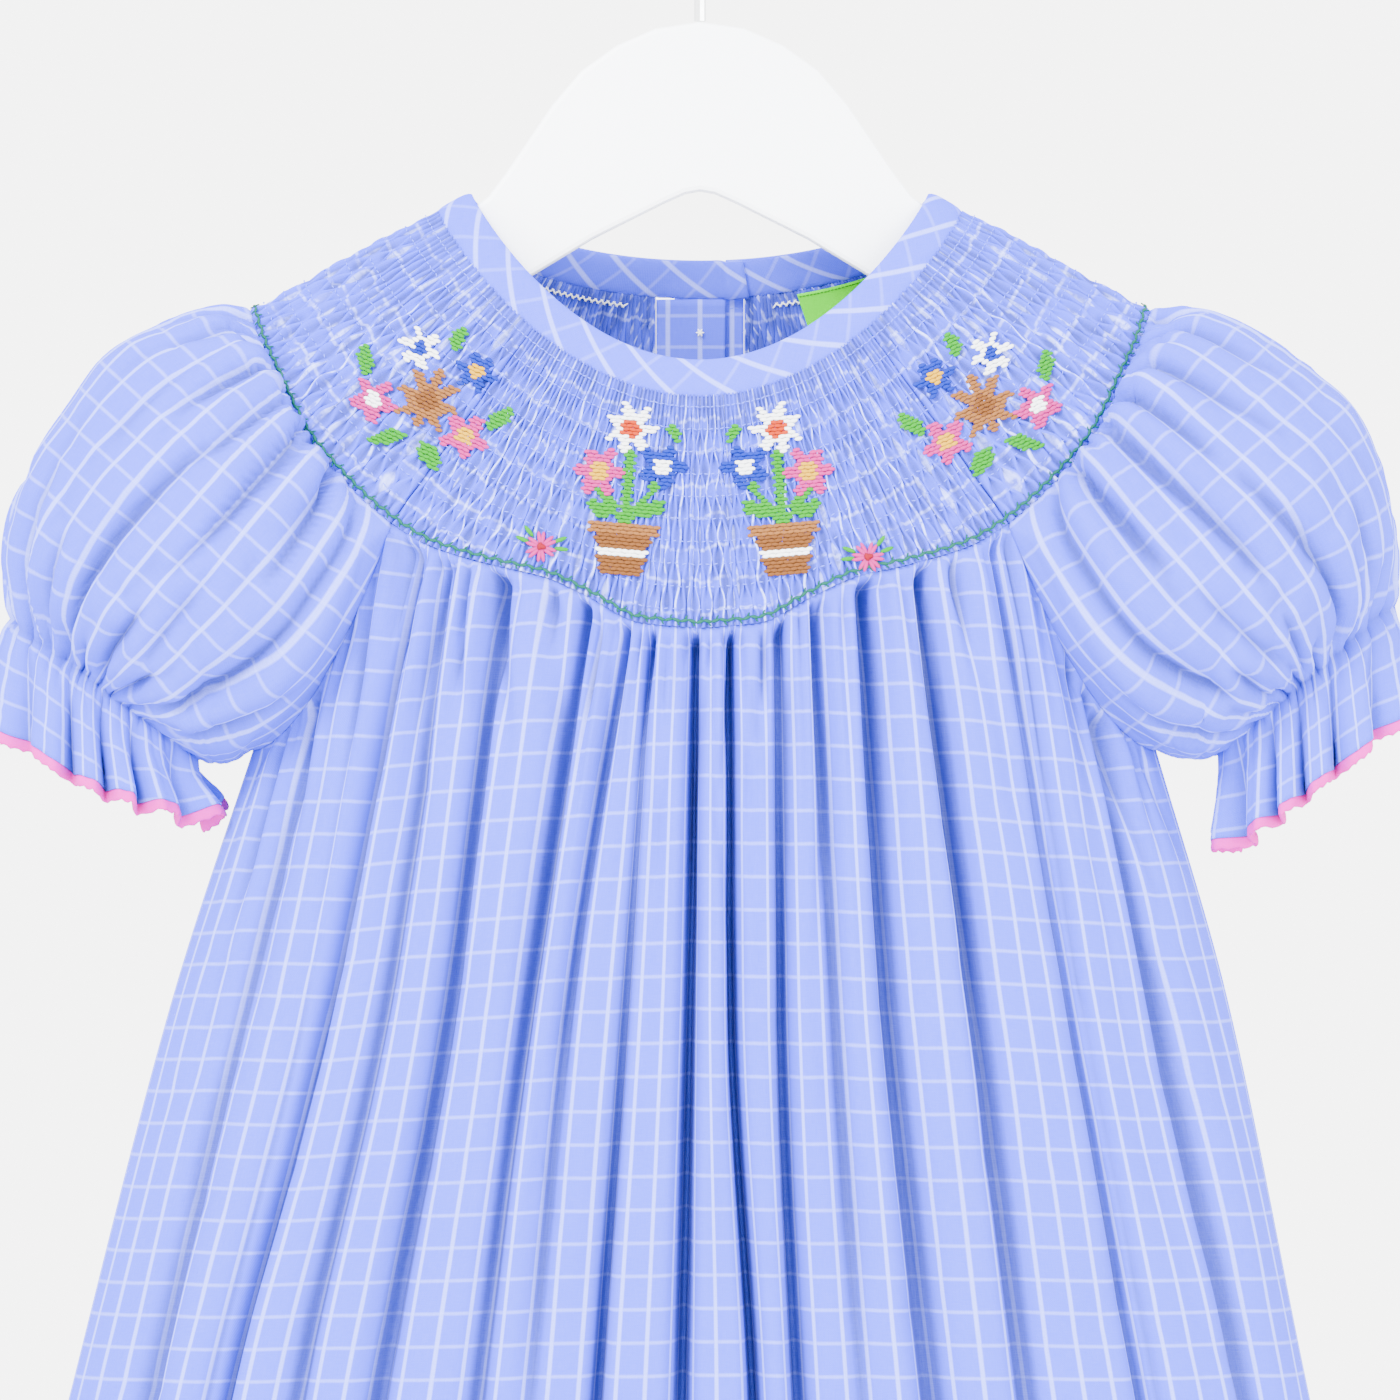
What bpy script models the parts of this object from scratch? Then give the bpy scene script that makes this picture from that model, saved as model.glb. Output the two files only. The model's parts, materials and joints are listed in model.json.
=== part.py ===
"""A child's smocked bishop dress with puffed sleeves, hanging on a white hanger, at real size.

The origin is the inside top of the hanger's hook, where a rod would carry it. +X is the
viewer's right as the front is looked at, +Y is the back of the dress and +Z is up.
Every length below is in millimetres, and the meshes are made in metres.
"""

import math

import bmesh
import bpy
import numpy as np
from mathutils import Matrix, Vector
from mathutils.bvhtree import BVHTree

MM = 0.001

# Cloth
CLOTH_THICK = 1.3
SEAM_GAP = 0.3
FOLD_REACH = 16.0

# Neck edge, seen as a ring that dips at the front and less at the back
NECK_HALF_WIDTH = 61.5
NECK_SIDE_Z = -106.4
NECK_FRONT_DROP = 45.5
NECK_BACK_DROP = 16.5
NECK_FRONT_DEPTH = 22.0
NECK_BACK_DEPTH = 25.0
BINDING_WIDTH = 10.6
BINDING_THICK = 2.6

# Smocked yoke
YOKE_BULGE = 2.5
RIBS = 88
RIB_HEIGHT = 1.3
RIB_SWAY = 0.22
YOKE_ROWS = 8
# The yoke's lower edge on the +X side, from the front centre over the shoulder to the back centre
YOKE_EDGE = (
    # x, y, z
    (0.0, -41.0, -224.0),
    (16.0, -41.0, -222.5),
    (29.0, -40.5, -216.0),
    (41.0, -40.0, -210.5),
    (56.0, -39.0, -207.0),
    (72.0, -37.0, -202.0),
    (84.0, -34.0, -194.5),
    (95.5, -30.0, -184.0),
    (105.5, -25.0, -172.0),
    (113.0, -18.0, -157.5),
    (118.5, -8.5, -146.0),
    (121.0, 0.0, -138.5),
    (118.5, 9.0, -145.0),
    (110.0, 21.0, -158.0),
    (95.0, 30.0, -171.0),
    (72.0, 36.5, -183.0),
    (40.0, 40.0, -192.0),
    (0.0, 41.0, -195.5),
)
RAGLAN_X = 82.0

# Underarm points, where the side seam starts
UNDERARM_LEFT = (-120.5, 0.0, -256.0)
UNDERARM_RIGHT = (123.0, 0.0, -256.0)

# Front and back panels below the yoke
HEM_Z = -566.0
HEM_LEFT = -203.0
HEM_RIGHT = 193.0
HEM_DEPTH = 55.0
HEM_ROUNDING = 2.6
PANEL_SPRING = 5.0
MID_Z = -322.0
LOW_Z = -426.0
# Folds of the front panel, left to right: where each valley runs and how deep and wide it is
FRONT_FOLDS = (
    # x at the top edge, x at MID_Z, x at LOW_Z, x at the hem, depth high, depth low, half width
    (-103.0, -122.0, -147.0, -178.0, 3.0, 4.0, 9.0),
    (-76.0, -100.0, -127.0, -156.0, 9.0, 9.0, 6.0),
    (-67.0, -84.0, -107.0, -132.0, 4.0, 5.0, 6.0),
    (-53.0, -67.5, -86.0, -108.0, 9.0, 8.0, 7.0),
    (-30.5, -46.0, -59.0, -77.0, 9.0, 5.0, 6.0),
    (-20.0, -35.0, -45.0, -58.0, 6.0, 2.0, 5.0),
    (-13.0, -20.0, -27.5, -37.0, 3.0, 9.0, 4.0),
    (-1.5, -3.0, -5.0, -8.0, 12.0, 13.0, 5.0),
    (8.5, 9.0, 14.5, 19.0, 11.0, 12.0, 4.0),
    (21.0, 22.0, 26.5, 35.0, 7.0, 10.0, 5.0),
    (31.5, 36.0, 43.0, 55.0, 6.0, 2.0, 6.0),
    (44.5, 51.0, 62.0, 78.0, 11.0, 8.0, 8.0),
    (59.5, 74.0, 87.0, 106.0, 10.0, 6.0, 7.0),
    (79.0, 99.5, 118.5, 142.0, 5.0, 6.0, 6.0),
    (104.0, 122.0, 146.0, 171.0, 6.0, 4.0, 8.0),
)
# Folds of the back panel, left to right; the strip under the placket stays plain
BACK_FOLDS = (
    # x at the top edge, x at MID_Z, x at LOW_Z, x at the hem, depth high, depth low, half width
    (-101.0, -121.0, -142.0, -170.0, 4.0, 5.0, 8.0),
    (-76.0, -96.0, -118.0, -146.0, 8.0, 9.0, 7.0),
    (-60.0, -74.0, -92.0, -114.0, 7.0, 7.0, 7.0),
    (-43.0, -53.0, -66.0, -84.0, 9.0, 10.0, 7.0),
    (-28.0, -33.0, -40.0, -51.0, 6.0, 7.0, 6.0),
    (-15.5, -13.0, -15.0, -20.0, 4.0, 10.0, 6.0),
    (15.5, 14.0, 13.0, 15.0, 4.0, 9.0, 6.0),
    (27.0, 32.0, 40.0, 49.0, 7.0, 8.0, 6.0),
    (42.0, 52.0, 63.0, 79.0, 8.0, 8.0, 7.0),
    (58.0, 71.0, 86.0, 107.0, 9.0, 10.0, 7.0),
    (77.0, 97.0, 116.0, 140.0, 6.0, 7.0, 7.0),
    (103.0, 121.0, 141.0, 166.0, 4.0, 5.0, 8.0),
)
FRONT_COLUMNS = 66
BACK_COLUMNS = 54
# How far down each row of a panel lies, and how much the small gathers stand out there
PANEL_LEVELS = (0.0, 0.02, 0.06, 0.12, 0.20, 0.30, 0.42, 0.56, 0.70, 0.85, 1.0)
GATHER_LEVELS = (0.0, 0.9, 0.6, 0.0, 0.0, 0.0, 0.0, 0.0, 0.0, 0.0, 0.0)

# Sleeves, from the armhole through the elastic to the edge of the frill
SLEEVE_COLUMNS = 44
SLEEVE_LEVELS = (0.0, 0.035, 0.10, 0.20, 0.34, 0.50, 0.66, 0.82, 0.93, 1.0)
FRILL_ROWS = 2
FRILL_WAVES = 11
FRILL_WAVE = 2.8
GATHER_HEIGHT = 1.5
SHOULDER_GATHER = 1.7
OVERHANG = 9.0
SLEEVE_CLEARANCE = 2.6
YOKE_SHARE = 12.0 / 22.0
RAGLAN_BEND = 1.7
TRIM_WIDTH = 3.6
TRIM_THICK = 2.0
SLEEVE_RIGHT = (
    # along, top x, top z, bottom x, bottom z, half depth, lean towards the body
    (0.16, 136.0, -138.0, 125.8, -257.0, 40.0, 29.0),
    (0.34, 158.0, -148.5, 128.8, -258.0, 44.0, 20.0),
    (0.52, 175.0, -163.5, 131.8, -258.5, 45.0, 12.0),
    (0.70, 184.0, -184.0, 134.8, -258.5, 41.0, 6.0),
    (0.86, 187.5, -203.0, 137.6, -258.0, 30.0, 2.0),
    (1.00, 186.5, -217.5, 140.0, -257.0, 17.0, 0.0),
)
SLEEVE_LEFT = (
    # along, top x, top z, bottom x, bottom z, half depth, lean towards the body
    (0.16, -133.0, -137.5, -123.0, -257.0, 40.0, 29.0),
    (0.34, -152.0, -144.0, -125.6, -258.5, 44.0, 20.0),
    (0.52, -170.0, -163.0, -128.4, -259.5, 45.0, 12.0),
    (0.70, -183.0, -185.0, -131.2, -259.5, 41.0, 6.0),
    (0.86, -187.5, -204.0, -133.6, -259.0, 30.0, 2.0),
    (1.00, -186.5, -221.0, -136.0, -258.0, 17.0, 0.0),
)
# Pleats of the sleeves that are drawn in deeper than the rest
SLEEVE_CREASES = (
    # degrees round from the top through the front, deepest at, reach, depth, half width in degrees
    (33.0, 0.22, 0.20, 2.6, 9.0),
    (57.0, 0.28, 0.24, 3.2, 9.0),
    (82.0, 0.25, 0.22, 3.0, 9.0),
    (49.0, 0.80, 0.16, 2.4, 9.0),
    (90.0, 0.78, 0.18, 2.6, 9.0),
    (131.0, 0.62, 0.30, 2.2, 9.0),
    (229.0, 0.62, 0.30, 2.2, 9.0),
    (278.0, 0.27, 0.22, 3.0, 9.0),
    (303.0, 0.24, 0.22, 3.0, 9.0),
    (327.0, 0.75, 0.18, 2.4, 9.0),
)
FRILL_RIGHT = (
    # along, top x, top z, bottom x, bottom z, half depth, lean towards the body
    (1.12, 187.5, -224.0, 140.5, -263.0, 18.0, 0.0),
    (1.45, 190.0, -244.0, 140.0, -280.0, 21.0, 0.0),
)
FRILL_LEFT = (
    # along, top x, top z, bottom x, bottom z, half depth, lean towards the body
    (1.12, -187.5, -227.0, -135.5, -263.0, 18.0, 0.0),
    (1.45, -190.0, -246.0, -133.0, -272.5, 20.0, 0.0),
)

# Which way the cloth's thickness runs at the seams, on the front of the +X side
YOKE_SEAM_TURNS = (
    # x, y, z
    (0.0, -1.0, 0.05),
    (0.25, -0.9, 0.30),
    (0.50, 0.0, 0.87),
)
RAGLAN_TURNS = (
    # x, y, z
    (0.25, -0.9, 0.30),
    (0.10, -0.95, -0.20),
    (0.75, 0.0, -0.66),
)

# Back opening: two strips that overlap, with buttons on the outer one
PLACKET_HALF = 12.0
PLACKET_LAP = 7.0
PLACKET_BELOW_YOKE = 46.0
PLACKET_THICK = 1.2
BUTTON_RADIUS = 5.5
BUTTON_THICK = 2.4
BUTTON_HOLE_RADIUS = 0.9
BUTTON_HOLE_OFFSET = 1.5
BUTTON_DROPS = (9.0, 48.0, 87.0)

# Plain woven label inside the back of the neck
LABEL_HEIGHT = 17.0
LABEL_THICK = 1.0
LABEL_X = 28.0

# Hanger
BOARD_HALF_THICK = 3.5
BOARD_ROUNDING = 1.4
BOARD_OUTLINE = (
    # x, z of the +X half, from the top centre round the tip to the lower centre
    (0.0, -60.0),
    (12.0, -61.8),
    (22.5, -66.4),
    (32.0, -73.2),
    (40.0, -82.6),
    (46.5, -92.2),
    (52.5, -101.0),
    (57.0, -107.0),
    (64.0, -112.4),
    (88.0, -125.4),
    (108.0, -136.2),
    (113.5, -141.0),
    (115.5, -147.6),
    (113.5, -155.0),
    (108.0, -158.6),
    (101.0, -157.6),
    (84.0, -149.0),
    (49.0, -130.6),
    (29.0, -118.5),
    (10.0, -109.0),
    (4.0, -106.3),
    (0.0, -105.6),
)
WIRE_RADIUS = 1.6
HOOK_RADIUS = 19.0
HOOK_START_DEG = 205.0
HOOK_END_DEG = -48.0
HOOK_STEP_DEG = 11.5
SHANK_TOP_Z = -46.0

# Colours (red, green, blue), roughness, metallic
MATERIALS = {
    "check_cotton": ((0.44, 0.52, 0.90), 0.85, 0.0),
    "pink_edging": ((0.95, 0.50, 0.72), 0.8, 0.0),
    "green_label": ((0.36, 0.68, 0.22), 0.7, 0.0),
    "white_button": ((0.92, 0.92, 0.94), 0.35, 0.0),
    "white_board": ((0.93, 0.95, 0.97), 0.5, 0.0),
    "hook_steel": ((0.72, 0.73, 0.74), 0.3, 1.0),
}


# Small helpers

def clear_scene():
    for obj in list(bpy.data.objects):
        bpy.data.objects.remove(obj)


def material(name):
    found = bpy.data.materials.get(name)
    if found:
        return found
    colour, roughness, metallic = MATERIALS[name]
    made = bpy.data.materials.new(name)
    made.use_nodes = True
    shader = made.node_tree.nodes["Principled BSDF"]
    shader.inputs["Base Color"].default_value = (*colour, 1.0)
    shader.inputs["Roughness"].default_value = roughness
    shader.inputs["Metallic"].default_value = metallic
    return made


def smooth(at, knots, values):
    """Values between knots on a smooth curve that never overshoots them."""
    at = np.asarray(at, float)
    knots = np.asarray(knots, float)
    values = np.asarray(values, float)
    step = np.diff(knots)
    slope = np.diff(values) / step
    tangent = np.empty(len(knots))
    tangent[0], tangent[-1] = slope[0], slope[-1]
    before, after = slope[:-1], slope[1:]
    same = before * after > 0
    total = np.where(same, before + after, 1.0)
    tangent[1:-1] = np.where(same, 2 * before * after / total, 0.0)
    i = np.clip(np.searchsorted(knots, at) - 1, 0, len(knots) - 2)
    u = np.clip((at - knots[i]) / step[i], 0, 1)
    rise = values[i + 1] - values[i]
    start, end = tangent[i] * step[i], tangent[i + 1] * step[i]
    curve = u * u * (3 - 2 * u) * rise
    return values[i] + curve + u * (1 - u) ** 2 * start - u * u * (1 - u) * end


def ease(t):
    t = np.clip(t, 0, 1)
    return t * t * (3 - 2 * t)


def lengths(points):
    """Length along a line of points, from its start to each point."""
    steps = np.linalg.norm(np.diff(points, axis=0), axis=1)
    return np.concatenate([[0.0], np.cumsum(steps)])


def along(points, shares):
    """Points at these shares of a line's length."""
    at = lengths(points)
    where = np.asarray(shares) * at[-1]
    return np.stack([np.interp(where, at, points[:, k]) for k in range(3)], axis=-1)


def grid_normals(grid, closed=False):
    """Unit normals of a grid of points, pointing away from the garment's middle."""
    if closed:
        wide = np.roll(grid, -1, axis=1) - np.roll(grid, 1, axis=1)
    else:
        wide = np.gradient(grid, axis=1)
    down = np.gradient(grid, axis=0)
    normal = np.cross(down, wide)
    return normal / np.maximum(np.linalg.norm(normal, axis=2, keepdims=True), 1e-9)


def wall(name, outer, inner, finish, closed=False):
    """A closed cloth wall between two grids that have the same number of columns."""
    rows, columns = outer.shape[:2]
    inner_rows = inner.shape[0]
    points = np.concatenate([outer.reshape(-1, 3), inner.reshape(-1, 3)]) * MM
    first_inner = rows * columns
    faces = []
    for j in range(columns if closed else columns - 1):
        k = (j + 1) % columns
        for i in range(rows - 1):
            a, b = i * columns, (i + 1) * columns
            faces.append((a + j, b + j, b + k, a + k))
        for i in range(inner_rows - 1):
            a, b = first_inner + i * columns, first_inner + (i + 1) * columns
            faces.append((a + k, b + k, b + j, a + j))
        top, last = first_inner, (rows - 1) * columns
        bottom = first_inner + (inner_rows - 1) * columns
        faces.append((j, k, top + k, top + j))
        faces.append((last + k, last + j, bottom + j, bottom + k))
    if not closed:
        for column, turn in ((0, 1), (columns - 1, -1)):
            edge = [i * columns + column for i in range(rows)]
            back = [first_inner + i * columns + column for i in range(inner_rows)]
            faces.append(tuple((edge + back[::-1])[:: -turn]))
    mesh = bpy.data.meshes.new(name)
    mesh.from_pydata([tuple(p) for p in points], [], faces)
    obj = bpy.data.objects.new(name, mesh)
    PARTS.objects.link(obj)
    bm = bmesh.new()
    bm.from_mesh(mesh)
    bmesh.ops.recalc_face_normals(bm, faces=bm.faces)
    bm.to_mesh(mesh)
    bm.free()
    mesh.materials.append(material(finish))
    mesh.shade_smooth()
    mesh.set_sharp_from_angle(angle=math.radians(50))
    return obj


def thin_wall(name, outer, normals, finish, closed=False, thick=CLOTH_THICK):
    """A cloth wall of even thickness behind an outer grid."""
    return wall(name, outer, outer - normals * thick, finish, closed)


# Neck and yoke

def neck_ring(angle):
    """The neck's top edge on the +X side; angle runs from 0 at the front to pi at the back."""
    cosine = np.cos(angle)
    front = np.clip(cosine, 0, 1)
    back = np.clip(-cosine, 0, 1)
    x = NECK_HALF_WIDTH * np.sin(angle)
    y = -NECK_FRONT_DEPTH * front + NECK_BACK_DEPTH * back
    z = NECK_SIDE_Z - NECK_FRONT_DROP * front**1.8 - NECK_BACK_DROP * back**1.3
    return np.stack([x, y, z], axis=-1)


def half_rings(samples=400):
    """Dense lines of the neck's edge and the yoke's lower edge, each from front to back."""
    neck = neck_ring(np.linspace(0, math.pi, samples))
    table = np.array(YOKE_EDGE)
    at = lengths(table)
    where = np.linspace(0, at[-1], samples)
    edge = np.stack([smooth(where, at, table[:, k]) for k in range(3)], axis=-1)
    return neck, edge


NECK_LINE, EDGE_LINE = half_rings()


def yoke_point(share, drop):
    """A point on the yoke: share is -1 to 1 round the ring with 0 at the front, drop 0 to 1."""
    share, drop = np.broadcast_arrays(np.asarray(share, float), np.asarray(drop, float))
    neck = along(NECK_LINE, np.abs(share))
    edge = along(EDGE_LINE, np.abs(share))
    point = neck + (edge - neck) * drop[..., None]
    level = np.abs(point[..., 1]) / NECK_BACK_DEPTH
    bulge = YOKE_BULGE * 4 * drop * (1 - drop) * np.clip(level, 0, 1)
    point[..., 1] += np.sign(point[..., 1]) * bulge
    point[..., 0] *= np.where(share < 0, -1, 1)
    return point


def yoke_normal(share, drop):
    """The outward normal of the yoke there."""
    step = 0.004
    around = yoke_point(share + step, drop) - yoke_point(share - step, drop)
    down = yoke_point(share, drop + step) - yoke_point(share, drop - step)
    normal = np.cross(down, around)
    return normal / np.linalg.norm(normal, axis=-1, keepdims=True)


def share_at(x, back=False):
    """How far round the yoke's lower edge its front or back half passes x."""
    at = lengths(EDGE_LINE) / lengths(EDGE_LINE)[-1]
    shoulder = int(EDGE_LINE[:, 0].argmax())
    if back:
        return float(np.interp(-x, -EDGE_LINE[shoulder:, 0], at[shoulder:]))
    return float(np.interp(x, EDGE_LINE[: shoulder + 1, 0], at[: shoulder + 1]))


FRONT_SEAM = share_at(RAGLAN_X)
BACK_SEAM = share_at(RAGLAN_X, back=True)
SHOULDER = float(lengths(EDGE_LINE)[EDGE_LINE[:, 0].argmax()] / lengths(EDGE_LINE)[-1])


def seam_turns(at, turns, sides, back):
    """Which way the cloth's thickness runs at places along a seam, from 0 to 2."""
    table = np.array(turns)
    knots = np.arange(len(table))
    turn = np.stack([np.interp(at, knots, table[:, k]) for k in range(3)], axis=-1)
    turn[..., 0] *= sides
    turn[..., 1] *= np.where(back, -1, 1)
    return turn / np.linalg.norm(turn, axis=-1, keepdims=True)


def yoke_seam_turn(share):
    """The thickness direction along the yoke's lower edge."""
    share = np.asarray(share, float)
    size = np.abs(share)
    front = np.interp(size, [0, FRONT_SEAM, SHOULDER], [0, 1, 2])
    rear = np.interp(size, [SHOULDER, BACK_SEAM, 1], [2, 1, 0])
    back = size > SHOULDER
    sides = np.where(share < 0, -1, 1)
    return seam_turns(np.where(back, rear, front), YOKE_SEAM_TURNS, sides, back)


def raglan_seam_turn(part, side, back):
    """The thickness direction along a raglan seam; part runs from 0 at the yoke to 1."""
    return seam_turns(2 * np.asarray(part, float), RAGLAN_TURNS, side, back)


def drop_of(length, share):
    """The drop at which the yoke is this far from the neck's edge, in mm."""
    reach = np.linalg.norm(yoke_point(share, 1.0) - yoke_point(share, 0.0), axis=-1)
    return length / reach


def opening_share(drop, half):
    """The share round the back where the yoke is half mm from the back centre."""
    neck, edge = lengths(NECK_LINE)[-1], lengths(EDGE_LINE)[-1]
    return 1 - half / (neck + (edge - neck) * drop)


def smocked_piece(name, start, end, ribs):
    """A pleated stretch of the yoke: ribs that sway from row to row over a plain inside.

    start and end give the share round the ring at each drop.
    """
    columns = 2 * ribs + 1
    rows = np.linspace(0, 1, YOKE_ROWS)
    outer = np.empty((YOKE_ROWS, columns, 3))
    inner = np.empty((3, columns, 3))
    column = np.arange(columns)
    crest = column % 2 == 1
    for grid, at, ribbed in ((outer, rows, True), (inner, np.linspace(0, 1, 3), False)):
        for i, t in enumerate(at):
            flat = start(t) + (end(t) - start(t)) * column / (columns - 1)
            top = drop_of(BINDING_WIDTH + SEAM_GAP, flat)
            bottom = 1 - drop_of(SEAM_GAP / 2, flat)
            drop = top + (bottom - top) * t
            share = start(drop) + (end(drop) - start(drop)) * column / (columns - 1)
            if ribbed:
                pitch = (end(drop) - start(drop)) / ribs
                sway = np.where((column // 2 + i) % 2 == 0, 1, -1) * RIB_SWAY * pitch
                share = share + np.where(crest & (0 < i < YOKE_ROWS - 1), sway, 0)
            height = np.where(crest, RIB_HEIGHT, 0) if ribbed else -CLOTH_THICK
            turn = yoke_normal(share, drop) if t < 1 else yoke_seam_turn(share)
            grid[i] = yoke_point(share, drop) + turn * np.reshape(height, (-1, 1))
    return wall(name, outer, inner, "check_cotton")


def yoke():
    """The smocked parts of the front, the two sleeves and the two back halves."""
    gap = SEAM_GAP / 2 / lengths(EDGE_LINE)[-1]
    lap = PLACKET_HALF + SEAM_GAP
    pieces = (
        ("yoke_front", lambda d: -FRONT_SEAM + gap, lambda d: FRONT_SEAM - gap, 32),
        ("yoke_sleeve_right", lambda d: FRONT_SEAM + gap, lambda d: BACK_SEAM - gap, 15),
        ("yoke_sleeve_left", lambda d: -BACK_SEAM + gap, lambda d: -FRONT_SEAM - gap, 15),
        ("yoke_back_right", lambda d: BACK_SEAM + gap, lambda d: opening_share(d, lap), 13),
        ("yoke_back_left", lambda d: -opening_share(d, lap), lambda d: -BACK_SEAM - gap, 13),
    )
    for name, start, end, ribs in pieces:
        smocked_piece(name, start, end, ribs)


def swept_strip(name, centres, widths, normals, width, thick, finish):
    """A flat strip with rounded long edges, swept along a line of centres."""
    profile = []
    for side in (1, -1):
        for turn in (-math.pi / 2, 0, math.pi / 2):
            across = side * (width / 2 - thick / 2 + thick / 2 * math.cos(turn))
            profile.append((across, side * thick / 2 * math.sin(turn)))
    sections = [
        [c + w * across + n * up for across, up in profile]
        for c, w, n in zip(centres, widths, normals)
    ]
    count = len(profile)
    points = [tuple(Vector(p) * MM) for section in sections for p in section]
    faces = [tuple(range(count)), tuple((len(sections) - 1) * count + k for k in range(count))]
    for i in range(len(sections) - 1):
        for k in range(count):
            a, b = i * count + k, i * count + (k + 1) % count
            faces.append((a, b, b + count, a + count))
    mesh = bpy.data.meshes.new(name)
    mesh.from_pydata(points, [], faces)
    obj = bpy.data.objects.new(name, mesh)
    PARTS.objects.link(obj)
    bm = bmesh.new()
    bm.from_mesh(mesh)
    bmesh.ops.recalc_face_normals(bm, faces=bm.faces)
    bm.to_mesh(mesh)
    bm.free()
    mesh.materials.append(material(finish))
    mesh.shade_smooth()
    mesh.set_sharp_from_angle(angle=math.radians(50))
    return obj


def neck_binding(sections=60):
    """The bias strip round the neck, open where the placket's outer strip ends."""
    reach = lengths(NECK_LINE)[-1]
    lap = PLACKET_LAP / reach
    shares = np.linspace(-1 - lap + 0.002, 1 - lap - 0.002, sections)
    shares = np.where(shares < -1, shares + 2, shares)
    drops = drop_of(BINDING_WIDTH / 2, shares)
    centres = yoke_point(shares, drops)
    normals = yoke_normal(shares, drops)
    widths = yoke_point(shares, 2 * drops) - yoke_point(shares, 0 * drops)
    widths /= np.linalg.norm(widths, axis=1, keepdims=True)
    swept_strip("neck_binding", centres, widths, normals, BINDING_WIDTH, BINDING_THICK,
                "check_cotton")


# Front and back panels

def top_edge(x, back=False):
    """Where a panel's top edge passes x: along the yoke, then down the raglan seams."""
    side = UNDERARM_RIGHT if x > 0 else UNDERARM_LEFT
    corner = along(EDGE_LINE, [BACK_SEAM if back else FRONT_SEAM])[0]
    if abs(x) <= RAGLAN_X:
        point = along(EDGE_LINE, [share_at(abs(x), back)])[0]
        return np.array([x, point[1], point[2]])
    t = (abs(x) - RAGLAN_X) / (abs(side[0]) - RAGLAN_X)
    y = corner[1] * (1 - t) ** 0.6
    return np.array([x, y, corner[2] + (side[2] - corner[2]) * (1 - (1 - t) ** RAGLAN_BEND)])


def top_edge_turn(x, back=False):
    """The thickness direction there."""
    side = 1 if x > 0 else -1
    under = UNDERARM_RIGHT if x > 0 else UNDERARM_LEFT
    if abs(x) <= RAGLAN_X:
        return yoke_seam_turn(side * share_at(abs(x), back))
    return raglan_seam_turn((abs(x) - RAGLAN_X) / (abs(under[0]) - RAGLAN_X), side, back)


def hem_depth(x):
    """How far the hem stands from the mid-plane at x."""
    reach = HEM_RIGHT if x > 0 else -HEM_LEFT
    return HEM_DEPTH * (1 - min(1.0, abs(x) / reach) ** HEM_ROUNDING) ** 0.5


def fold_shape(distance):
    """1 in a fold's valley, falling to 0 one half width away."""
    return 0.5 * (1 + np.cos(math.pi * np.clip(np.abs(distance), 0, 1)))


def panel_grid(folds, columns, levels, back=False, dense=25):
    """Outer points of a panel: rows go down to the hem and every valley keeps its column."""
    sign = 1 if back else -1
    left = (UNDERARM_LEFT[0], -142.0, -169.0, HEM_LEFT, 0.0, 0.0, 6.0)
    right = (UNDERARM_RIGHT[0], 142.0, 163.5, HEM_RIGHT, 0.0, 0.0, 6.0)
    knots = with_corners(np.array((left, *folds, right)))
    spans = len(knots) - 1
    place = np.linspace(0, spans, spans * dense + 1)
    tops, mids, lows, hems = (smooth(place, np.arange(spans + 1), knots[:, k]) for k in range(4))
    starts = np.array([top_edge(x, back) for x in tops])
    heights = -starts[:, 2]
    lines = []
    for t in levels:
        z = starts[:, 2] + (HEM_Z - starts[:, 2]) * t - SEAM_GAP / 2 * (1 - t)
        x = np.array([
            smooth(-z[i], [heights[i], -MID_Z, -LOW_Z, -HEM_Z], [tops[i], mids[i], lows[i], hems[i]])
            for i in range(len(place))
        ])
        depth_hem = np.array([hem_depth(v) for v in hems])
        depth = np.abs(starts[:, 1]) + (depth_hem - np.abs(starts[:, 1])) * t**0.8
        inside = np.clip(1 - (np.abs(tops) / RAGLAN_X) ** 4, 0, 1)
        depth += PANEL_SPRING * inside * np.sin(math.pi * np.clip(t / 0.5, 0, 1)) ** 0.7
        line = np.stack([x, sign * depth, z], axis=-1)
        reach = np.where(x > 0, HEM_RIGHT, -HEM_LEFT) * np.abs(x) / np.maximum(np.abs(hems), 1)
        out_x = x / np.maximum(reach, 60.0) ** 2 * 1.3
        out_y = sign * depth / HEM_DEPTH**2 + sign * 1e-6
        out = np.stack([out_x, out_y, np.zeros_like(x)], axis=-1)
        out /= np.linalg.norm(out, axis=1, keepdims=True)
        low = ease((t - 0.1) / 0.6)
        grown = ease(t * (starts[:, 2] - HEM_Z) / FOLD_REACH)
        hollow = np.zeros(len(place))
        for k in range(1, spans):
            deep = knots[k, 4] + (knots[k, 5] - knots[k, 4]) * low
            centre = x[k * dense]
            spread = knots[k, 6] * (0.75 + 0.5 * t)
            hollow += deep * fold_shape(np.abs(x - centre) / spread)
        line -= out * (hollow * grown)[:, None]
        lines.append(line)
    shares = span_shares(lines[len(lines) // 2], spans, dense, columns)
    grid = []
    for line in lines:
        row = []
        for k in range(spans):
            part = line[k * dense : (k + 1) * dense + 1]
            count = shares[k]
            row.append(along(part, np.arange(count) / count))
        row.append(line[-1:])
        grid.append(np.concatenate(row))
    return np.array(grid)


def with_corners(knots):
    """Adds a fold of no depth at each raglan corner, so that a column runs to it."""
    for x in (-RAGLAN_X, RAGLAN_X):
        row = [np.interp(x, knots[:, 0], knots[:, k]) for k in range(knots.shape[1])]
        row[4:] = (0.0, 0.0, 6.0)
        knots = np.insert(knots, np.searchsorted(knots[:, 0], x), row, axis=0)
    return knots


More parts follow.
